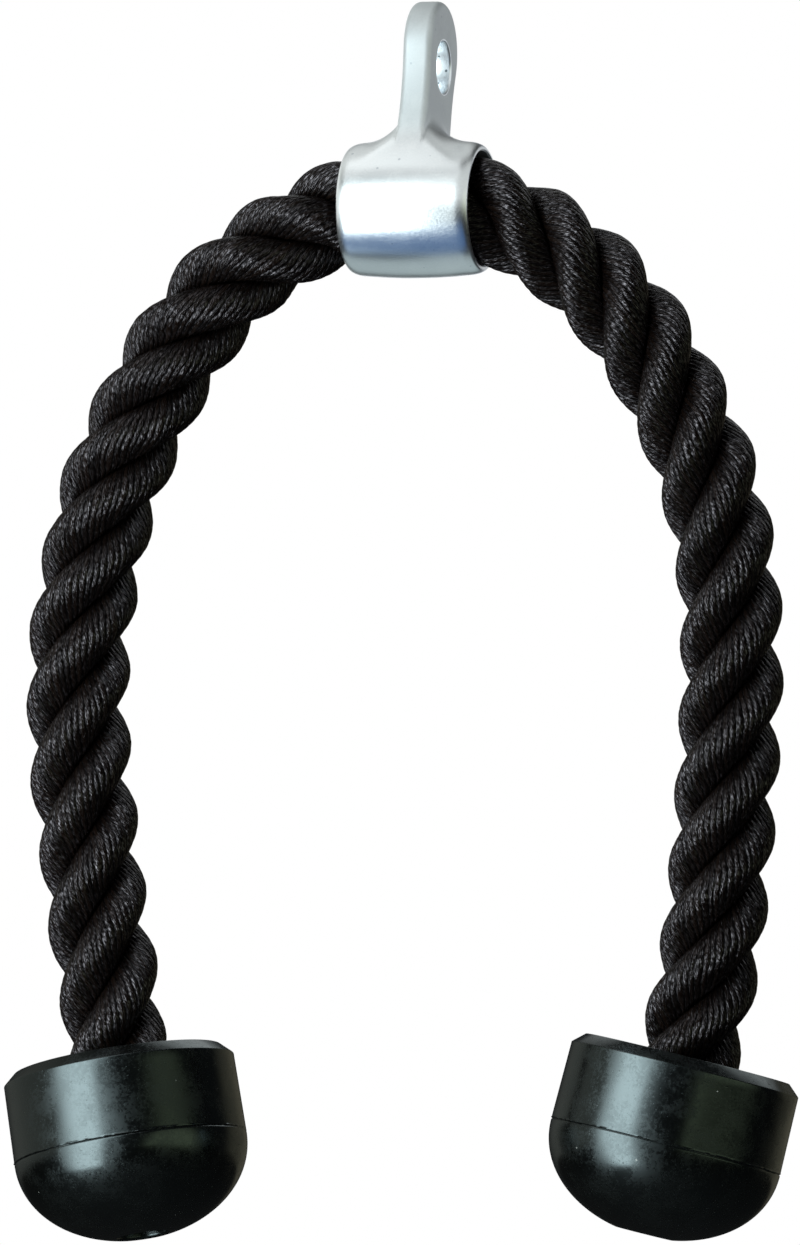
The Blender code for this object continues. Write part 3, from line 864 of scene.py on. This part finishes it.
    def build(self, side: Side, material: bpy.types.Material) -> bpy.types.Object:
        """One leg of the rope, from the collar's middle to its end in the stopper.

        Args:
            side: The leg.
            material: The fibre.

        Returns:
            The piece.
        """
        runs = self.rings(side)
        rings, columns = len(runs), self.yarns * len(self.phase_shares)
        grids, yarn_lines = zip(*(self.strand(side, number) for number in range(self.strands)))
        points = np.vstack([np.vstack((grid.reshape(-1, 3), grid[0].mean(axis=0), grid[-1].mean(axis=0)))
                            for grid in grids])
        first = np.arange(self.strands)[:, None, None] * (rings * columns + 2)
        quads, fans = (np.vstack(faces + first)
                       for faces in tube_faces(rings, columns, side is Side.RIGHT))
        mesh = make_mesh(f"{side.word}_rope", points, quads, fans)
        across = [np.append(np.tile(line, rings), (0, 0)) for line in yarn_lines]
        along = np.append(np.repeat(runs, columns), (runs[-1], runs[-1])) / self.yarn_width()
        self.lay_map(mesh, np.concatenate(across), np.tile(along, self.strands))
        mesh.set_sharp_from_angle(angle=self.sharp_above)
        rope = make_object(mesh.name, mesh, material)
        centre = self.frames(runs)[0]
        hinge = [self.frames(np.array((side.value * run,)))[0][0]
                 for run in (self.blend_start, self.blend_end)]
        Body.leg(side)
        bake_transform(rope)
        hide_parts(*(f"{side.word}_{stretch}_strand_{n + 1}"
                            for stretch in ("shoulder", "leg") for n in range(self.strands)))
        if side is Side.LEFT:
            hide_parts(*(f"crown_strand_{n + 1}" for n in range(self.strands)))
        return rope

    def lay_map(self, mesh: bpy.types.Mesh, across: np.ndarray, along: np.ndarray) -> None:
        """Gives each corner its yarn count across and its run along, in yarn widths.

        Args:
            mesh: The leg's mesh.
            across: Each point's yarn count, which starts again at the strand's first column.
            along: Each point's run, in yarn widths.
        """
        corners = np.zeros(len(mesh.loops), np.int32)
        mesh.loops.foreach_get("vertex_index", corners)
        sides = np.zeros(len(mesh.polygons), np.int32)
        mesh.polygons.foreach_get("loop_total", sides)
        face = np.repeat(np.arange(len(sides)), sides)
        u = across[corners]
        low, high = np.full(len(sides), np.inf), np.full(len(sides), -np.inf)
        np.minimum.at(low, face, u)
        np.maximum.at(high, face, u)
        wraps = (high - low)[face] > self.yarns / 2
        u = np.where(wraps & (u - low[face] < self.yarns / 2), u + self.yarns, u)
        layer = mesh.uv_layers.new(name="yarns")
        layer.data.foreach_set("uv", np.column_stack((u, along[corners])).astype(np.float32).ravel())


@dataclass(frozen=True)
class CollarCasting:
    """The cast collar: a short tube with rounded rims and an upright eye on its top."""

    length: float = 0.0375
    clearance: float = 0.0014
    wall: float = 0.0032
    crown: float = 0.0011
    rim_round: float = 0.0014
    rim_run: float = 0.0034
    bore_round: float = 0.0004
    eye_rise: float = 0.0410
    hole_radius: float = 0.0072
    hole_round: float = 0.0006
    head_radius: float = 0.0140
    head_above_eye: float = 0.0044
    waist_radius: float = 0.0600
    half_thickness: float = 0.0042
    edge_round: float = 0.0020
    edge_start: float = 0.0010
    edge_full: float = 0.0100
    cheek_spread: float = 0.0006
    fillet_run: float = 0.0100
    fillet_rise: float = 0.0080
    cheek_shares: tuple[float, ...] = (0.12, 0.35, 0.65)
    lean: float = math.radians(12)
    sharp_above: float = math.radians(40)
    tool_overrun: float = 0.004
    head_steps: int = 28
    waist_steps: int = 40
    collar_steps: int = 44
    fillet_steps: int = 14
    edge_steps: int = 8
    hole_steps: int = 96

    @property
    def bore(self) -> float:
        """The bore's radius."""
        return ROPE_DIAMETER / 2 + self.clearance

    @property
    def radius(self) -> float:
        """The tube's outer radius."""
        return self.bore + self.wall

    def outline(self) -> tuple[Points, Points]:
        """The casting's outline across the bore, and its outward normals.

        A head round the eye, a hollow waist that is tangent to the head and to the tube,
        and the tube's own round, then the same mirrored.

        Returns:
            Points and normals (y, z) from the tube's axis, once round.
        """
        head = self.eye_rise + self.head_above_eye
        to_head = self.head_radius + self.waist_radius
        to_tube = self.radius + self.waist_radius
        waist_z = (head ** 2 + to_tube ** 2 - to_head ** 2) / (2 * head)
        waist_y = math.sqrt(to_tube ** 2 - waist_z ** 2)
        head_end = math.degrees(math.atan2(waist_z - head, waist_y))
        tube_start = math.degrees(math.atan2(waist_z, waist_y))
        over = arc((0.0, head), self.head_radius, 90, head_end, self.head_steps)
        down = arc((waist_y, waist_z), self.waist_radius, 180 + head_end, 180 + tube_start,
                   self.waist_steps)[1:]
        under = arc((0.0, 0.0), self.radius, tube_start, -90, self.collar_steps)[1:]
        half = np.vstack((over, down, under))
        out = np.vstack((over - (0.0, head), (waist_y, waist_z) - down, under))
        mirror = np.array((-1, 1))
        points = np.vstack((half, half[-2:0:-1] * mirror))
        normals = np.vstack((out, out[-2:0:-1] * mirror))
        return points, normals / np.linalg.norm(normals, axis=1)[:, None]

    def surface(self) -> tuple[Points, int]:
        """The casting as rings of points that stand on straight lines from the bore's axis.

        The rings run from the bore's left lip round the rim, along the tube, up the
        quarter-round fillet at the plate's foot, over the cheek and round the plate's
        edge, and the same mirrored. The edge's round fades out toward the tube. The
        fillet and the cheek are held inside its start: the fillet's height is the product
        of the two heights over their hypotenuse, which is smooth and stays under both,
        so that the narrow face flares into the tube. Below the plate the cheek's rings
        are spread a little along the tube. The outer skin is drawn in toward both ends by
        a crown that grows with the square of the place along the bore.

        Returns:
            The points and how many make a ring.
        """
        outline, normals = self.outline()
        reach = np.linalg.norm(outline, axis=1)
        rays = outline / reach[:, None]
        stand = reach - self.radius
        edge = smooth_step(stand, self.edge_start, self.edge_full)[:, None] * normals
        inner = outline - self.edge_round * edge
        inner_reach = np.linalg.norm(inner, axis=1)
        inner_stand = inner_reach - self.radius
        bearings = np.arctan2(inner[:, 0], inner[:, 1])
        above = np.arange(self.head_steps + self.waist_steps, -1, -1)
        quarter = np.linspace(0, math.pi / 2, self.edge_steps + 1)
        end = self.length / 2
        rings: list[Points] = []

        def add(x: object, across: Points, crown: float = self.crown) -> None:
            """One ring of points at x, drawn in by the crown."""
            along = np.broadcast_to(x, len(across))
            drawn_in = rays * (crown * (along / end) ** 2)[:, None]
            rings.append(np.column_stack((along, across - drawn_in)))

        def inside(reach: np.ndarray) -> Points:
            """Points at a reach from the axis toward the edge's start, never out past it."""
            limit = np.interp(reach, inner_reach[above], bearings[above])
            held = np.where(stand > 0, np.clip(bearings, -limit, limit), bearings)
            return np.column_stack((np.sin(held), np.cos(held))) * reach[:, None]

        add(-end + self.bore_round, rays * self.bore, 0.0)
        add(-end, rays * (self.bore + self.bore_round), 0.0)
        for turn in quarter:
            radius = self.radius - self.rim_round * (1 - math.sin(turn))
            add(-end + self.rim_run * (1 - math.cos(turn)), rays * radius)
        for turn in np.linspace(0, math.pi / 2, self.fillet_steps + 1):
            height = self.fillet_rise * (1 - math.cos(turn))
            lift = height * inner_stand / np.maximum(np.hypot(height, inner_stand), TINY)
            foot = self.radius + np.where(stand > 0, np.clip(lift, 0, None), 0)
            add(-self.half_thickness - self.fillet_run * (1 - math.sin(turn)), inside(foot))
        spread = self.cheek_spread * (1 - smooth_step(stand, 0.0, self.edge_full))
        for share in self.cheek_shares:
            add(-self.half_thickness + spread * share, inside(foot + (inner_reach - foot) * share))
        for turn in quarter:
            past = spread + (self.edge_round - spread) * (1 - math.cos(turn))
            add(-self.half_thickness + past, outline - self.edge_round * (1 - math.sin(turn)) * edge)
        rings += [ring * (-1, 1, 1) for ring in rings[::-1]]
        return np.vstack(rings), len(outline)

    def spool(self) -> bpy.types.Mesh:
        """The tool that cuts the eye: a drill as wide as the hole, flared at both mouths."""
        mouth = self.half_thickness - self.hole_round
        flare = self.hole_radius + self.hole_round
        rim = arc((flare, mouth), self.hole_round, 90, 180, self.edge_steps)
        top = self.half_thickness + self.tool_overrun
        upper = np.vstack(((0.0, top), (flare, top), rim))
        profile = np.vstack((upper, upper[::-1] * (1, -1)))
        points, quads, fans = turned(profile[1:-1], self.hole_steps, profile[(0, -1), 1])
        return make_mesh("eye_spool", points[:, (2, 0, 1)], quads, fans)

    def build(self, cast: bpy.types.Material, machined: bpy.types.Material) -> bpy.types.Object:
        """The casting with its eye cut.

        Args:
            cast: The satin skin.
            machined: The bright wall of the eye.

        Returns:
            The piece, riding on the collar.
        """
        points, steps = self.surface()
        points = points - (0.0, 0.0, self.eye_rise)
        mesh = make_mesh("collar_casting", points, grid_quads(len(points) // steps, steps, True)[:, ::-1])
        casting = make_object(mesh.name, mesh, cast, machined)
        tool = make_object("eye_spool", self.spool(), cast, machined)
        tool.data.polygons.foreach_set("material_index", np.ones(len(tool.data.polygons), np.int32))
        cut = casting.modifiers.new("eye", "BOOLEAN")
        cut.operation, cut.object = "DIFFERENCE", tool
        bpy.context.view_layer.update()
        done = casting.evaluated_get(bpy.context.evaluated_depsgraph_get())
        finished = bpy.data.meshes.new_from_object(done)
        casting.modifiers.clear()
        casting.data = finished
        bpy.data.objects.remove(tool)
        finished.transform(Matrix.Rotation(-self.lean, 4, "X"))
        finished.shade_smooth()
        finished.set_sharp_from_angle(angle=self.sharp_above)
        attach(casting, Body.COLLAR.value)
        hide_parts("collar_and_eye")
        return casting


@dataclass(frozen=True)
class RubberStopper:
    """A moulded rubber stopper: a chamfered cup over a dome, with the rope's end inside.

    The places with bead in their name are where the wall, the seam and the dome meet, in
    half widths of the seam's bead. The flash and the groove stand off the seam's middle.
    """

    side: Side
    route: RopeRoute
    radius: float = 0.0322
    mouth_radius: float = 0.0319
    chamfer_width: float = 0.0033
    chamfer_depth: float = 0.0030
    chamfer_round: float = 0.0005
    cup_depth: float = 0.0246
    dome_depth: float = 0.0253
    dome_power: float = 2.06
    bead_width: float = 0.0008
    wall_beads: float = 2.2
    seam_beads: float = 1.6
    dome_beads: float = 1.9
    flash_height: float = 0.00026
    flash_off: float = 0.00022
    flash_spread: float = 0.00012
    flash_least: float = 0.35
    flash_swing: float = 1.5
    seam_depth: float = 0.00022
    groove_off: float = 0.00008
    groove_spread: float = 0.00013
    seam_wander: float = 0.00010
    outer_share: float = 0.98
    hole_radius: float = 0.0070
    hole_round: float = 0.0010
    ferrule_length: float = 0.0160
    ferrule_wall: float = 0.0015
    washer_thickness: float = 0.0020
    sharp_above: float = math.radians(55)
    steps: int = 360
    round_steps: int = 4
    flat_points: int = 6
    wall_steps: int = 13
    seam_points: int = 9
    dome_steps: int = 45
    hole_steps: int = 6
    seed: int = 5

    def profile(self) -> Points:
        """Half section (radius, height), with the flat top at height 0.

        Down the outer side: a flat top, a softened chamfer, a nearly straight wall, the
        parting seam, a dome that is a power curve, and the rounded mouth of the access
        hole. Up the inner side: the hole, the washer's seat, the ferrule's pocket and
        the throat that grips the rope.

        Returns:
            The points, once round.
        """
        throat = ROPE_DIAMETER / 2 + RUNNING_GAP
        pocket = throat + self.ferrule_wall + RUNNING_GAP
        pocket_top = self.ferrule_length - ROPE_END_DEPTH + RUNNING_GAP
        seat = -ROPE_END_DEPTH - 2 * RUNNING_GAP - self.washer_thickness
        bead, soft, steps = self.bead_width / 2, self.chamfer_round, self.round_steps
        top_edge = self.mouth_radius - self.chamfer_width
        slope = math.degrees(math.atan2(self.chamfer_depth, self.chamfer_width))
        tangent = soft * math.tan(math.radians(slope / 2))
        ease = soft * math.tan(math.radians((90 - slope) / 2))
        lip = arc((throat + soft, -soft), soft, 180, 90, steps)
        flat = np.column_stack((np.linspace(throat + 2 * soft, top_edge - 2 * soft, self.flat_points),
                                np.zeros(self.flat_points)))
        shoulder = arc((top_edge - tangent, -soft), soft, 90, 90 - slope, steps)
        corner = arc((self.mouth_radius - soft, -self.chamfer_depth - ease), soft, 90 - slope, 0, steps)
        share = np.linspace(0, 1, self.wall_steps + 1)[1:]
        wall_drop = self.wall_beads * bead - self.cup_depth + self.chamfer_depth + soft
        wall = np.column_stack((self.mouth_radius + (self.radius - self.mouth_radius) * share,
                                -self.chamfer_depth - soft + wall_drop * share))
        over_seam = np.linspace(self.seam_beads, -self.seam_beads, self.seam_points)
        seam = np.column_stack((np.full(self.seam_points, self.radius),
                                -self.cup_depth + bead * over_seam))
        hole = self.hole_radius + self.hole_round
        power = 2 / self.dome_power
        last = math.acos((hole / self.radius) ** (1 / power))
        turns = np.linspace(0, last, self.dome_steps + 1)[1:]
        dome_drop = (self.dome_depth - bead) * np.sin(turns) ** power
        dome = np.column_stack((self.radius * np.cos(turns) ** power,
                                -self.cup_depth - bead - dome_drop))
        dome = dome[dome[:, 1] < -self.cup_depth - self.dome_beads * bead]
        rim = arc((hole, dome[-1, 1] + self.hole_round), self.hole_round, -90, -180,
                  self.hole_steps)[1:]
        inner = [(self.hole_radius, seat), (pocket, seat), (pocket, pocket_top), (throat, pocket_top)]
        return np.vstack((lip, flat, shoulder, corner, wall, seam, dome, rim, inner))

    def build(self, rubber: bpy.types.Material) -> bpy.types.Object:
        """The stopper, its seam uneven as the two halves of a mould leave it.

        Along the seam the wall sinks to a thin groove, and beside it a ragged fin of
        flash stands out, both as narrow bells of the distance from the seam. Soft waves
        round the stopper set the fin's height.

        Args:
            rubber: The finish.

        Returns:
            The piece, riding on its leg.
        """
        points, quads, fans = turned(self.profile(), self.steps)
        chance = np.random.default_rng(self.seed + self.side.value)
        angle = np.arctan2(points[:, 1], points[:, 0])
        reach = np.hypot(points[:, 0], points[:, 1])
        ways = points[:, :2] / reach[:, None]
        waves, wander = (soft_waves(angle, tuple(math.tau / count for count in counts), chance)
                         for counts in ((3, 7, 17, 41, 73), (2, 5)))
        away = points[:, 2] + self.cup_depth - self.seam_wander * wander
        flash = self.flash_height * np.clip(self.flash_least + self.flash_swing * waves, 0, 1)
        relief = (bell(away - self.flash_off, self.flash_spread) * flash
                  - bell(away + self.groove_off, self.groove_spread) * self.seam_depth)
        out = np.where(reach > self.radius * self.outer_share, relief, 0)
        points[:, :2] += ways * out[:, None]
        mesh = make_mesh(f"{self.side.word}_rubber_stopper", points, quads, fans)
        turn = self.side.value * self.route.toe_in(self.side)
        place = Matrix.Translation(Vector(self.route.mouth(self.side))) @ Matrix.Rotation(turn, 4, "Y")
        mesh.transform(place)
        mesh.set_sharp_from_angle(angle=self.sharp_above)
        stopper = make_object(mesh.name, mesh, rubber)
        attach(stopper, Body.leg(self.side))
        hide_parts(f"{self.side.word}_stopper")
        return stopper


@dataclass(frozen=True)
class EndHardware:
    """The ferrule, washer and lag screw inside each stopper, which keep their own solids."""

    zinc: bpy.types.Material
    steel: bpy.types.Material

    def dress(self, side: Side) -> None:
        """Gives one side's hardware its finishes."""
        for part, finish in (("ferrule", self.zinc), ("washer", self.zinc), ("lag_screw", self.steel)):
            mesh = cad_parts[f"{side.word}_{part}"].data
            mesh.materials.clear()
            mesh.materials.append(finish)


@dataclass(frozen=True)
class SoftBox:
    """A soft box that faces the object, with a face that may fade toward its edges.

    The azimuth is in degrees round from the front, toward +X, and the elevation in degrees
    above the level. The fades are shares of the face's width and height. A flag dims the
    face's lower right, from the given shares across and up it, and most at its foot.
    """

    name: str
    azimuth: float
    elevation: float
    distance: float
    size: tuple[float, float]
    radiance: float
    tint: Tint
    side_fade_share: float = 0.0
    low_fade_share: float = 0.0
    high_fade_share: float = 0.0
    flag_shares: tuple[float, float] | None = None
    lights: Lit = Lit.ALL
    flag_softness: float = 0.03
    flag_foot: float = 0.10
    flag_most: float = 0.96
    flag_least: float = 0.74

    def away(self) -> Vector:
        """The way from the object to the box."""
        return way_to(math.radians(self.azimuth), math.radians(self.elevation))

    def shade(self, lamp: bpy.types.Light) -> None:
        """Fades the lamp's face toward its edges and behind the flag."""
        lamp.use_nodes = True
        graph = Graph(lamp.node_tree)
        across, up, _ = graph.split(graph.add("NewGeometry").outputs["Parametric"])
        light: Value | float = 1.0
        for place, low, high in ((across, self.side_fade_share, self.side_fade_share),
                                 (up, self.low_fade_share, self.high_fade_share)):
            if low > 0:
                light = graph.span(place, 0.0, low) * light
            if high > 0:
                light = graph.span(place, 1.0 - high, 1.0, 1.0, 0.0) * light
        if self.flag_shares:
            (right, top), soft = self.flag_shares, self.flag_softness
            behind = (graph.span(across, right - soft, right + soft)
                      * graph.span(up, top - soft, top + soft, 1.0, 0.0))
            held = graph.span(up, self.flag_foot, top, self.flag_most, self.flag_least)
            light = (1.0 - behind * held) * light
        graph.feed(lamp.node_tree.nodes["Emission"].inputs["Strength"], light)


@dataclass(frozen=True)
class Studio:
    """The camera at the photograph's angle, soft lamps, a pale floor and a white backdrop.

    The surround holds directions from the object, the cosines between which each one
    fades in, and the colour that the surfaces mirror from there.
    """

    image_width: int = 800
    image_height: int = 1245
    metres_a_pixel: float = 0.0002745
    bore_pixel_x: float = 418.0
    bore_pixel_y: float = 209.0
    azimuth: float = math.radians(16.0)
    elevation: float = math.radians(-5.7)
    roll: float = math.radians(1.1)
    distance: float = 8.0
    sensor_mm: float = 36.0
    clip_start: float = 0.05
    clip_end: float = 50.0
    floor_height: float = -1.2
    floor_half: float = 6.0
    floor_roughness: float = 0.9
    middle_height: float = -0.16
    backdrop: Tint = (1.0, 1.0, 1.0)
    air: Tint = (0.13, 0.135, 0.14)
    mirrored_air: Tint = (0.018, 0.020, 0.021)
    floor_tint: Tint = (0.60, 0.61, 0.62)
    mirrored_floor: Tint = (0.06, 0.06, 0.06)
    floor_glow: Tint = (0.66, 0.67, 0.68)
    boxes: tuple[SoftBox, ...] = (
        SoftBox("key", -28, 1, 1.35, (1.80, 2.90), 5.2, (0.85, 0.97, 1.0), 0.42, 0.16, 0.42,
                (0.68, 0.57)),
        SoftBox("overhead", -38, 62, 1.35, (1.1, 0.75), 0.80, (0.95, 0.99, 1.0)),
        SoftBox("rear_top", 172, 46, 1.35, (2.2, 1.1), 1.0, (0.95, 1.0, 1.0), 0.3, 0.3, 0.3,
                lights=Lit.ROPE),
        SoftBox("ceiling", -130, 67, 1.2, (2.2, 2.2), 0.80, (0.95, 1.0, 1.0), 0.3, 0.3, 0.3,
                lights=Lit.COLLAR),
        SoftBox("right_corner", 52, 34, 1.2, (4.6, 2.0), 0.85, (0.95, 1.0, 1.0), 0.10, 0.25, 0.2,
                lights=Lit.COLLAR),
        SoftBox("left_corner", -112, 8, 1.2, (4.4, 1.5), 0.92, (0.95, 1.0, 1.0), 0.12, 0.25, 0.3,
                lights=Lit.COLLAR),
        SoftBox("cheek", 150, 6, 0.8, (2.4, 0.8), 0.62, (0.84, 0.90, 1.0), 0.12, 0.2, 0.2,
                lights=Lit.COLLAR),
        SoftBox("front_low", -16, -56, 0.3, (0.50, 0.34), 1.0, (0.040, 0.13, 0.33), 0.0, 0.0, 0.30,
                lights=Lit.COLLAR),
        SoftBox("back_low", -155, -60, 0.3, (0.50, 0.36), 1.0, (0.46, 0.56, 0.58), 0.0, 0.0, 0.1,
                lights=Lit.COLLAR),
    )
    surround: tuple[tuple[Tint, float, float, Tint], ...] = (
        ((-0.95, 0.00, 0.20), 0.45, 0.95, (0.20, 0.21, 0.19)),
        ((0.86, -0.457, -0.22), 0.80, 0.90, (0.36, 0.42, 0.28)),
        ((0.40, 0.92, 0.0), 0.82, 0.97, (0.16, 0.15, 0.11)),
    )

    def axes(self) -> tuple[Vector, Vector, Vector]:
        """The camera's right, up and backward directions."""
        a, e, r = self.azimuth, self.elevation, self.roll
        right = Vector((math.cos(a), math.sin(a), 0.0))
        up = Vector((-math.sin(a) * math.sin(e), math.cos(a) * math.sin(e), math.cos(e)))
        rolled_right = right * math.cos(r) + up * math.sin(r)
        return rolled_right, up * math.cos(r) - right * math.sin(r), way_to(a, e)

    def add_camera(self) -> None:
        """A long lens that frames the object as the photograph does."""
        right, up, back = self.axes()
        over = (self.image_width / 2 - self.bore_pixel_x) * self.metres_a_pixel
        under = (self.bore_pixel_y - self.image_height / 2) * self.metres_a_pixel
        target = Vector(BORE_AXIS) + right * over + up * under
        data = bpy.data.cameras.new("camera")
        data.sensor_width = self.sensor_mm
        data.lens = self.sensor_mm * self.distance / (self.image_height * self.metres_a_pixel)
        data.clip_start, data.clip_end = self.clip_start, self.clip_end
        camera = add_object("camera", data)
        turn = Matrix((right, up, back)).transposed()
        camera.matrix_world = Matrix.Translation(target + back * self.distance) @ turn.to_4x4()
        bpy.context.scene.camera = camera

    def add_box(self, box: SoftBox, pieces: dict[Lit, bpy.types.Collection]) -> None:
        """Hangs a soft box.

        Args:
            box: Its place, size and light.
            pieces: What the boxes for the collar and for the rope light.
        """
        data = bpy.data.lights.new(box.name, "AREA")
        data.shape = "RECTANGLE"
        data.size, data.size_y = box.size
        data.energy, data.color = box.radiance * math.pi * box.size[0] * box.size[1], box.tint
        box.shade(data)
        lamp = add_object(box.name, data)
        middle = BORE_AXIS if box.lights is Lit.COLLAR else (0.0, 0.0, self.middle_height)
        away = box.away()
        turn = away.to_track_quat("Z", "Y").to_matrix().to_4x4()
        lamp.matrix_world = Matrix.Translation(Vector(middle) + away * box.distance) @ turn
        lamp.visible_camera = False
        if box.lights is not Lit.ALL:
            lamp.light_linking.receiver_collection = pieces[box.lights]

    def add_world(self) -> None:
        """A white backdrop for the camera and a dimmer, cooler surround for everything else."""
        world = bpy.data.worlds.new("studio")
        bpy.context.scene.world = world
        world.use_nodes = True
        world.node_tree.nodes.clear()
        graph = Graph(world.node_tree)
        way = graph.add("TexCoord").outputs["Generated"]
        seen = rgba(*self.mirrored_air)
        for direction, low, high, tint in self.surround:
            unit = tuple(Vector(direction).normalized())
            dot = graph.add("VectorMath", {0: way, 1: unit}, operation="DOT_PRODUCT")
            near = graph.span(dot.outputs["Value"], low, high)
            seen = graph.blend(near, seen, rgba(*tint))
        path = graph.add("LightPath")
        mirrored = graph.math("MAXIMUM", path.outputs["Is Glossy Ray"],
                              path.outputs["Is Transmission Ray"])
        colour = graph.blend(mirrored, rgba(*self.air), seen)
        colour = graph.blend(path.outputs["Is Camera Ray"], colour, rgba(*self.backdrop))
        light = graph.add("Background", {"Color": colour, "Strength": 1.0})
        graph.add("OutputWorld", {"Surface": light.outputs["Background"]})

    def add_floor(self) -> None:
        """A wide pale floor that is not seen from below."""
        material = bpy.data.materials.new("studio_floor")
        material.use_nodes = True
        nodes, graph = material.node_tree.nodes, Graph(material.node_tree)
        shader, path = nodes["Principled BSDF"], graph.add("LightPath")
        colour = graph.blend(path.outputs["Is Glossy Ray"], rgba(*self.floor_tint),
                             rgba(*self.mirrored_floor))
        for name, value in (("Base Color", colour), ("Roughness", self.floor_roughness),
                            ("Emission Color", rgba(*self.floor_glow)),
                            ("Emission Strength", path.outputs["Is Camera Ray"])):
            graph.feed(shader.inputs[name], value)
        under = graph.add("NewGeometry").outputs["Backfacing"]
        clear = graph.add("BsdfTransparent").outputs["BSDF"]
        mixed = graph.add("MixShader", {0: under, 1: shader.outputs["BSDF"], 2: clear})
        graph.feed(nodes["Material Output"].inputs["Surface"], mixed.outputs["Shader"])
        half, height = self.floor_half, self.floor_height
        corners = np.array([(-half, -half, height), (half, -half, height),
                            (half, half, height), (-half, half, height)])
        floor = make_object("floor", make_mesh("floor", corners, np.array([[0, 1, 2, 3]])), material)

    def build(self, pieces: dict[Lit, bpy.types.Collection]) -> None:
        """Sets the whole studio, with what the boxes for the collar and for the rope light."""
        self.add_camera()
        self.add_world()
        self.add_floor()
        for box in self.boxes:
            self.add_box(box, pieces)
        bpy.context.scene.view_settings.view_transform = "Standard"


def report(piece: bpy.types.Object) -> None:
    """Logs a finished piece and its triangles."""
    corners = len(piece.data.loops)
    LOG.info("%s: %d triangles", piece.name, corners - 2 * len(piece.data.polygons))


def main() -> None:
    """Builds the studio and the ropes, then the collar, the stoppers and their hardware."""
    logging.basicConfig(level=logging.INFO, format="%(name)s %(message)s")
    pieces = {lit: bpy.data.collections.new(f"{lit.value}_pieces") for lit in (Lit.COLLAR, Lit.ROPE)}
    Studio().build(pieces)
    route = RopeRoute()
    rope, fibre = LaidRope(route), RopeFibre().material
    for side in Side:
        leg = rope.build(side, fibre)
        pieces[Lit.ROPE].objects.link(leg)
        report(leg)
    casting = CollarCasting().build(CastAluminium().material, MachinedAluminium().material)
    pieces[Lit.COLLAR].objects.link(casting)
    report(casting)
    rubber = MouldedRubber().material
    hardware = EndHardware(ZincPlate().material, OiledSteel().material)
    for side in Side:
        stopper = RubberStopper(side, route).build(rubber)
        pieces[Lit.ROPE].objects.link(stopper)
        report(stopper)
        hardware.dress(side)


if __name__ == "__main__":
    main()
